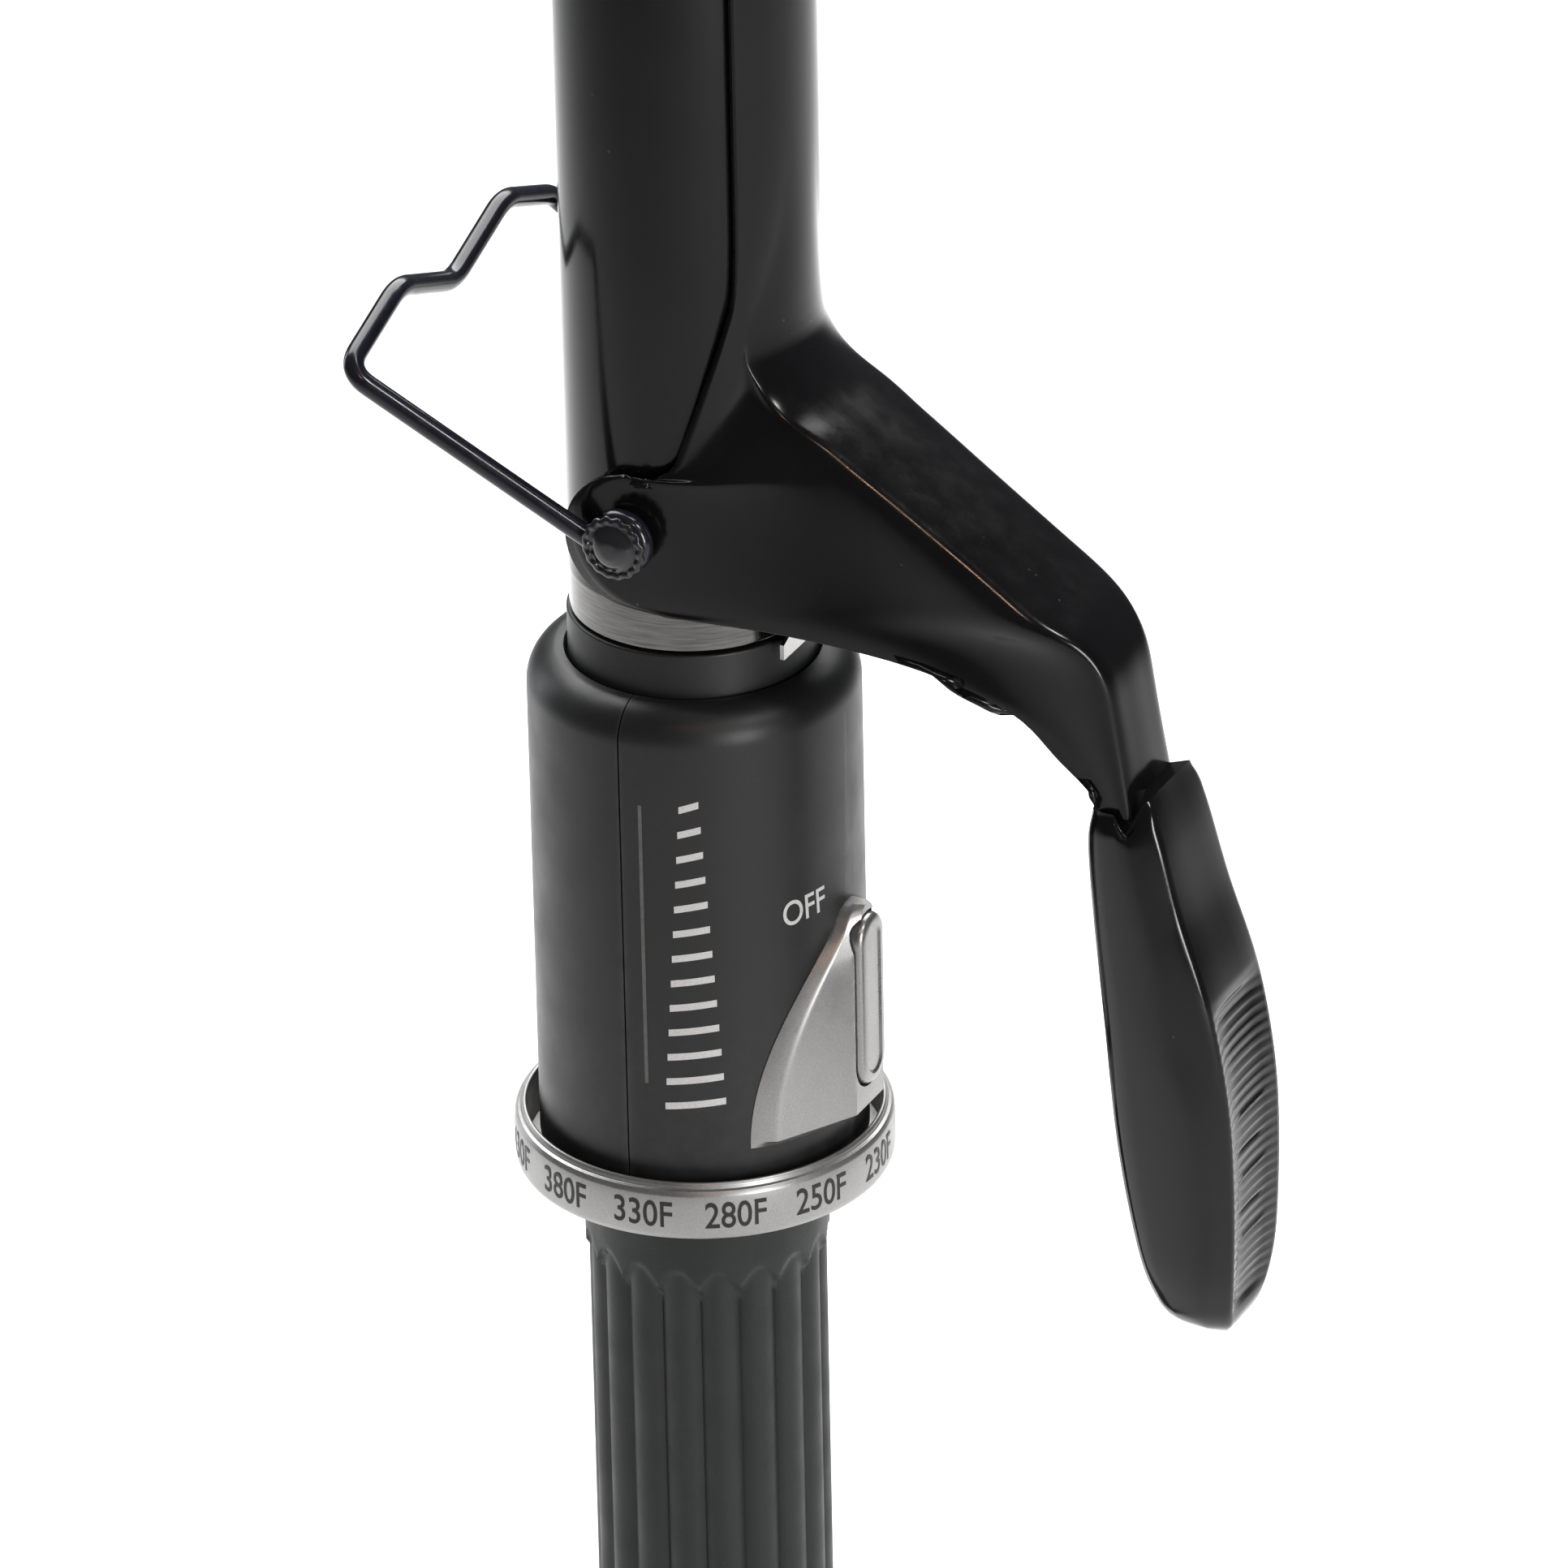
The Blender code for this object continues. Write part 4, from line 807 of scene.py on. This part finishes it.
def socket():
    """Cord inlet: a short cone with three rings, on a neck that turns in the cap."""
    shoulder = CAP_BOTTOM - GAP
    low, top = SOCKET_LOW.z, SOCKET_HIGH.z
    bore, neck_radius, clip = 3.6, 6.2, GRIP_BOTTOM - GAP + 6 + GAP
    outline = [(bore, low + 0.6), (bore + 0.6, low), (bore + 1.9, low), (bore + 2.4, low + 0.4)]
    for i in range(3):
        z = low + 1.8 + i * 2.6
        r = bore + 2.7 + i * 0.85
        outline += [(r, z - 0.1), (r - 0.6, z + 0.15), (r - 0.6, z + 0.75), (r + 0.25, z + 1.0)]
    outline += [(9.2, shoulder - 3.0), (9.4, shoulder - 0.5), (9.0, shoulder), (neck_radius, shoulder),
                (neck_radius, clip - 0.1), (neck_radius - 0.8, clip - 0.1), (neck_radius - 0.8, clip + 1.4),
                (neck_radius, clip + 1.4), (neck_radius, top), (bore, top)]
    piece("cord_inlet", lathe("cord_inlet", rounded(outline, 0.18, 2)), "tip", "swivel",
          ["swivel_socket"])


# ---------------------------------------------------------------- clamp

SHEET = 1.2
CLAMP_OUTER = BARREL_RADIUS + 0.5 + SHEET
CLAMP_LENGTH = 122.0
LEVER_REACH, LEVER_DROP, LEVER_SLOPE = 62.4, 9.4, 0.688
LEVER_END = (69.0, -46.0)
LEVER_HALF_WIDTH, NECK_HALF_WIDTH = 10.6, 6.8
EAR_RADIUS = 9.4


def fillet(before, corner, after, radius, steps):
    a, b, c = Vector(before), Vector(corner), Vector(after)
    u, v = (a - b).normalized(), (c - b).normalized()
    half = u.angle(v) / 2
    reach = radius / math.tan(half)
    middle = b + (u + v).normalized() * (radius / math.sin(half))
    start, end = b + u * reach - middle, b + v * reach - middle
    turn = start.angle(end)
    return [middle + (start * math.sin(turn * (1 - i / steps)) + end * math.sin(turn * i / steps))
            / math.sin(turn) for i in range(steps + 1)]


def face_line(rows):
    corner_z = (LEVER_REACH - CLAMP_OUTER) * LEVER_SLOPE - LEVER_DROP
    top, upper, lower = (CLAMP_OUTER, 40.0), (CLAMP_OUTER, corner_z), (LEVER_REACH, -LEVER_DROP)
    heights = [CLAMP_LENGTH - down for down in (0, 1.4, 4.5, 9, 14)] + [96.0, 78.0, 60.0, 48.0, 40.0]
    spoon = [Vector((CLAMP_OUTER, z)) for z in heights]
    lever = (fillet(top, upper, lower, 12, 14) + fillet(upper, lower, LEVER_END, 13,
                                                        14) + [Vector(LEVER_END)])
    return spoon + evenly(lever, rows)


def edge_line(rows):
    """The sheet's free edge from the spoon, round the ear and down the lever, as (x, z)."""
    turns = ((41, 33), (49, 26), (60, 17), (70, 9.5))
    beside = [(CLAMP_OUTER * math.cos(math.radians(a)), z) for a, z in turns]
    ear = arc((0.3, -1.0), EAR_RADIUS, 76, 270, 19)
    end = (LEVER_END[0] - 4.6, LEVER_END[1])
    along = curve_through([(0.3, -1 - EAR_RADIUS), (22, -11.4), (40, -14.4), (50.5, -19.0), (56, -25.4),
                           (60.2, -29.2), (62.1, -32.2), (63.0, -37), end], 200)
    beside = evenly(beside, 12)
    return beside + [Vector(p) for p in ear] + evenly(along, rows - len(beside) - len(ear) + 1)[1:]


def wall_y(x):
    if x <= 6:
        return CLAMP_OUTER
    if x <= 42:
        return CLAMP_OUTER + (LEVER_HALF_WIDTH + 0.4 - CLAMP_OUTER) * (x - 6) / 36
    return LEVER_HALF_WIDTH + 0.4 + (NECK_HALF_WIDTH - LEVER_HALF_WIDTH - 0.4) * smooth((x - 42) / 18)


def clamp_surface(face_steps=10, wall_steps=10):
    rows, spoon_rows = 61, 10
    centre, edges = face_line(rows), edge_line(rows)
    shares = (0.35, 0.66, 0.88, 0.97, 1.0, 1.0, 1.0, 1.0, 1.0, 1.0)
    lifts = (1.4, 1.0, 0.45, 0.12, 0.0, 0.0, 0.0, 0.0, 0.0, 0.0)
    surface = []
    for k, middle in enumerate(centre):
        before, after = centre[max(k - 1, 0)], centre[min(k + 1, len(centre) - 1)]
        down = (after - before).normalized()
        out = Vector((-down.y, down.x))
        row = []
        if k < spoon_rows:
            half = math.radians(40.0 * shares[k])
            steps = face_steps + 2 * wall_steps
            for j in range(steps + 1):
                angle = half * (2 * j / steps - 1)
                r = CLAMP_OUTER + lifts[k]
                row.append(Vector((r * math.cos(angle), r * math.sin(angle), middle.y)))
            surface.append(row)
            continue
        index = k - spoon_rows
        narrow = smooth((middle.x - 54) / 12)
        width = LEVER_HALF_WIDTH + (NECK_HALF_WIDTH - LEVER_HALF_WIDTH) * narrow
        crown = CLAMP_OUTER + (42 - CLAMP_OUTER) * smooth((middle.x - CLAMP_OUTER - 0.2) / 9)
        free = smooth((index - 4) / 10)
        end = edges[index]
        drop = crown - math.sqrt(crown ** 2 - width ** 2)
        crease = middle - out * drop
        wall = []
        for j in range(wall_steps):
            f = 1 - j / wall_steps
            x, z = crease.lerp(end, f)
            round_y = math.sqrt(max(CLAMP_OUTER ** 2 - x * x, 0.0))
            flat_y = width + (wall_y(x) - width) * smooth(f * 1.6)
            wall.append(Vector((x, max(round_y, width + (flat_y - width) * free), z)))
        row += [Vector((p.x, -p.y, p.z)) for p in wall]
        for j in range(face_steps + 1):
            y = width * (2 * j / face_steps - 1)
            x, z = middle - out * (crown - math.sqrt(crown ** 2 - y * y))
            row.append(Vector((x, y, z)))
        row += list(reversed(wall))
        surface.append(row)
    return surface


def relaxed(rows, rounds, first):
    """Evens out the inside of the sheet below its first rows, without shrinking it."""
    for step in range(2 * rounds):
        pull = 0.5 if step % 2 == 0 else -0.52
        old = [[p.copy() for p in row] for row in rows]
        for k in range(first, len(rows) - 1):
            strength = pull * smooth((k - first + 1) / 4)
            for j in range(1, len(rows[k]) - 1):
                around = (old[k - 1][j] + old[k + 1][j] + old[k][j - 1] + old[k][j + 1]) / 4
                rows[k][j] = old[k][j] + (around - old[k][j]) * strength
    return rows


def clamp():
    rows = relaxed(clamp_surface(), 12, 7)
    bm = bmesh.new()
    grid = [[bm.verts.new(p + Vector((0, 0, PIVOT))) for p in row] for row in rows]
    for a, b in zip(grid, grid[1:]):
        for j in range(len(a) - 1):
            bm.faces.new((a[j], b[j], b[j + 1], a[j + 1]))
    mesh = bpy.data.meshes.new("clamp_sheet")
    bm.to_mesh(mesh)
    bm.free()
    sheet = piece("clamp_sheet", mesh, "enamel", "clamp", ["clamp"], 180)
    modifier(sheet, "SUBSURF", "round", levels=1, render_levels=1)
    modifier(sheet, "SOLIDIFY", "sheet", thickness=SHEET * MM, offset=-1.0)


def rivets():
    """Blackened eyelet rivets: a shallow dome inside a rim that is flared in small petals."""
    for name, node, side in (("rivet_near", "pivot_rivet_near", -1), ("rivet_far", "pivot_rivet_far", 1)):
        low, high = span(node)
        reach = max(abs(low.y), abs(high.y))
        seat, radius = reach - 1.9, high.x
        petals, sides = 16, 128
        shank, shank_end = 1.4, 13.6
        profile = [(0, shank_end), (shank, shank_end), (shank, seat), (radius - 0.7, seat), (radius,
                                                                                             seat + 0.45),
                   (radius - 0.1, seat + 0.9), (radius - 0.75, seat + 1.15), (radius - 1.25, seat + 0.75),
                   (radius - 1.7, seat + 0.95), (radius - 2.4, seat + 1.5), (1.2, seat + 1.85), (0,
                                                                                                 seat + 1.9)]
        profile = rounded(profile, 0.3, 3)
        rings = []
        for i in range(sides):
            a = 2 * math.pi * i / sides
            wave = 0.5 + 0.5 * math.cos(petals * a)
            ring_points = []
            for r, y in profile:
                rim = smooth((r - radius + 1.4) / 0.6)
                rr = r - 0.28 * rim * wave
                yy = y - 0.16 * rim * (1 - wave) if y > seat + 0.3 else y
                ring_points.append((rr * math.cos(a), side * yy, rr * math.sin(a) + PIVOT))
            rings.append(ring_points)
        rings.append(rings[0])
        mesh = loft(name, rings, closed=False, caps=False)
        weld(mesh, 1e-4)
        piece(name, mesh, "rivet", "handle", [node], 45)


# ---------------------------------------------------------------- thumb rest

def thumb_rest():
    """Moulded rest: flat towards the handle, a ridge down each side, and a ribbed pad for the thumb."""
    inside = curve_through([(60.2, -31.4), (59.9, -37), (60.6, -46), (62.2, -62), (63.9, -80), (66.6, -95),
                            (69.6, -104), (72.6, -106.6)], 200)
    outside = curve_through([(68.6, -28.5), (70.8, -35), (73.6, -45), (77.6, -57), (80.0, -70), (80.7, -82),
                             (80.4, -96), (79.2, -104), (77.6, -106.9)], 200)
    ridge = ((0.0, 0.62), (0.25, 0.68), (0.42, 0.62), (0.58, 0.72), (0.8, 0.74), (1.0, 0.6))
    count = 170
    pad_low, pad_high = -104.0, -56.0
    rings = []
    for k in range(count + 1):
        t = k / count
        a, b = evenly_at(inside, t), evenly_at(outside, t)
        half = 10.0 * (0.88 + 0.12 * math.sin(math.pi * min(t * 1.1, 1.0)))
        half *= 1 - 0.30 * smooth((t - 0.8) / 0.2) ** 2
        if t > 0.93:
            half *= math.sqrt(max(1 - ((t - 0.93) / 0.085) ** 2, 0.12))
        top = 1 - smooth(t / 0.05)
        d_ridge = blend_of(ridge, t)
        inner_w, outer_w = 0.86 * half, 0.80 * half
        section = [(0.0, 0.0), (0.0, inner_w * 0.45), (0.004, inner_w * 0.80), (0.03, inner_w * 0.95),
                   (0.10, inner_w * 1.02), (0.24, half * 0.95), (d_ridge - 0.16, half * 0.985),
                   (d_ridge - 0.05, half), (d_ridge + 0.03, half * 0.985), (d_ridge + 0.12, half * 0.93),
                   (0.90, outer_w * 1.06), (0.96, outer_w), (0.985, outer_w * 0.93), (0.99, outer_w * 0.86),
                   (1.0, outer_w * 0.6), (1.0, outer_w * 0.3), (1.0, 0.0)]
        ring_points = []
        both = [(d, w) for d, w in section] + [(d, -w) for d, w in reversed(section[1:-1])]
        for d, w in both:
            x, z = a.lerp(b, d)
            notch = math.exp(-((d - 0.66) / 0.14) ** 2) * (1 - smooth(t / 0.08)) * 3.4
            notch += (1 - smooth(t / 0.03)) * 0.8 * max(abs(w) / half - 0.6, 0) / 0.4
            z -= notch
            w *= 1 - 0.10 * top
            if pad_low < z < pad_high and d > 0.97:
                inside_pad = smooth((0.9 - abs(w) / outer_w) / 0.12)
                ends = smooth((pad_high - z) / 4) * smooth((z - pad_low) / 3)
                dish = 0.75 * (1 - (w / outer_w) ** 2) + 0.25
                rib = 0.5 + 0.5 * math.cos(2 * math.pi * z / 1.5)
                x -= inside_pad * ends * (dish + 0.32 * rib)
            ring_points.append((x, w, z + PIVOT))
        rings.append(ring_points)
    piece("thumb_rest_moulding", loft("thumb_rest_moulding", rings), "gloss", "clamp",
          ["thumb_rest"], 50)


def evenly_at(points, t):
    place = t * (len(points) - 1)
    k = min(int(place), len(points) - 2)
    return points[k].lerp(points[k + 1], place - k)


# ---------------------------------------------------------------- stand

def round_corner(before, corner, after, reach, steps=12):
    u, v = (before - corner).normalized(), (after - corner).normalized()
    return eased_corner(corner + u * reach, corner, corner + v * reach, steps)


def stand():
    """Wire loop: an eye round each rivet, two legs and a foot with a W-shaped bend."""
    radius = 1.4
    eye_y, eye_radius = CLAMP_OUTER + GAP + radius, 3.1
    foot_x, foot_y, peak_y = -33.9, -29.2, -14.6
    rise, zigzag = 21.9, 5.6
    eye = [Vector((x, -eye_y, z)) for x, z in arc((0, 0), eye_radius, 120, -130, 32)]
    foot = Vector((foot_x, foot_y, rise))
    peak = Vector((foot_x, peak_y, rise + zigzag))
    valley = Vector((foot_x, 0, rise))
    lead = (foot - eye[-1]).normalized()
    start = eye[-1] + Vector((lead.x, 0, lead.z)) * 3.0
    route = eye + round_corner(eye[-1], start, foot, 1.6, 6)
    route += round_corner(start, foot, peak, 3.6) + round_corner(foot, peak, valley, 2.6)
    mirrored = Vector((peak.x, -peak.y, peak.z))
    other_side = [Vector((p.x, -p.y, p.z)) for p in reversed(route)]
    whole = route + round_corner(peak, valley, mirrored, 2.8) + other_side
    wire("stand_loop", [p + Vector((0, 0, PIVOT)) for p in whole], radius, "wire", "stand",
         ["stand_wire"], 8)


# ---------------------------------------------------------------- floor, light, camera

def floor():
    m = Recipe("floor_paper")
    tint = m.mixed(m.ranged(m.noise(300, 2), 0.0, 1.0), (0.90, 0.90, 0.90), (0.88, 0.885, 0.89))
    paper = m.finish(tint, 0.9, m.bump(m.noise(1.5, 2), 0.02), specular=0.1)
    level = CAD_BOX[0][2] - 0.0005
    mesh = bpy.data.meshes.new("floor")
    reach = 6.0
    corners = ((-1, -1), (1, -1), (1, 1), (-1, 1))
    mesh.from_pydata([(x * reach, y * reach, level) for x, y in corners], [], [(0, 1, 2, 3)])
    mesh.materials.append(paper)
    obj = bpy.data.objects.new("floor", mesh)
    bpy.context.scene.collection.objects.link(obj)


def softbox(name, azimuth, elevation, distance, size, power, colour=(1, 1, 1)):
    """An area light aimed at the iron. Azimuth turns from -Y towards +X."""
    aim = Vector((0.01, 0, 0.12))
    a, e = math.radians(azimuth), math.radians(elevation)
    away = Vector((math.sin(a) * math.cos(e), -math.cos(a) * math.cos(e), math.sin(e)))
    data = bpy.data.lights.new(name, "AREA")
    data.shape = "RECTANGLE"
    data.size, data.size_y = size
    data.energy = power
    data.color = colour
    obj = bpy.data.objects.new(name, data)
    obj.location = aim + away * distance
    obj.rotation_euler = (-away).to_track_quat("-Z", "Y").to_euler()
    obj.visible_camera = False
    bpy.context.scene.collection.objects.link(obj)
    return obj


def light():
    softbox("key", 58, 8, 1.3, (0.16, 0.6), 8)
    softbox("high_key", 72, 46, 1.6, (0.22, 0.22), 5)
    softbox("left", -100, 5, 1.2, (0.25, 0.9), 2.5, (0.94, 0.97, 1.0))
    back = softbox("back_floor", 0, 90, 0.5, (0.7, 0.7), 10.5)
    back.location = (-0.17, 0.33, 0.55)
    back.rotation_euler = (0, 0, 0)
    softbox("warm", 32, 42, 1.2, (0.05, 0.05), 0.7, (1.0, 0.62, 0.42))
    world = bpy.data.worlds.new("studio")
    world.use_nodes = True
    world.node_tree.nodes["Background"].inputs["Color"].default_value = (0.95, 0.97, 1.0, 1.0)
    world.node_tree.nodes["Background"].inputs["Strength"].default_value = 0.09
    bpy.context.scene.world = world
    bpy.context.scene.view_settings.view_transform = "Standard"


def camera():
    data = bpy.data.cameras.new("camera")
    data.sensor_width = 36.0
    data.lens = 297.0
    data.clip_end = 20.0
    obj = bpy.data.objects.new("camera", data)
    place = Vector((692.3, -1330.7, 741.7 + PIVOT)) * MM
    aim = Vector((12.8, 0.0, PIVOT - 41.6)) * MM
    look = (aim - place).to_track_quat("-Z", "Y").to_matrix().to_4x4()
    obj.matrix_world = Matrix.Translation(place) @ look @ Matrix.Rotation(math.radians(-1.2), 4, "Z")
    bpy.context.scene.collection.objects.link(obj)
    bpy.context.scene.camera = obj


# ---------------------------------------------------------------- everything

dress_nodes()
barrel()
cool_tip()
neck()
housing()
marks()
bezel()
rocker()
ring()
grip()
cap()
socket()
clamp()
rivets()
thumb_rest()
stand()
floor()
light()
camera()
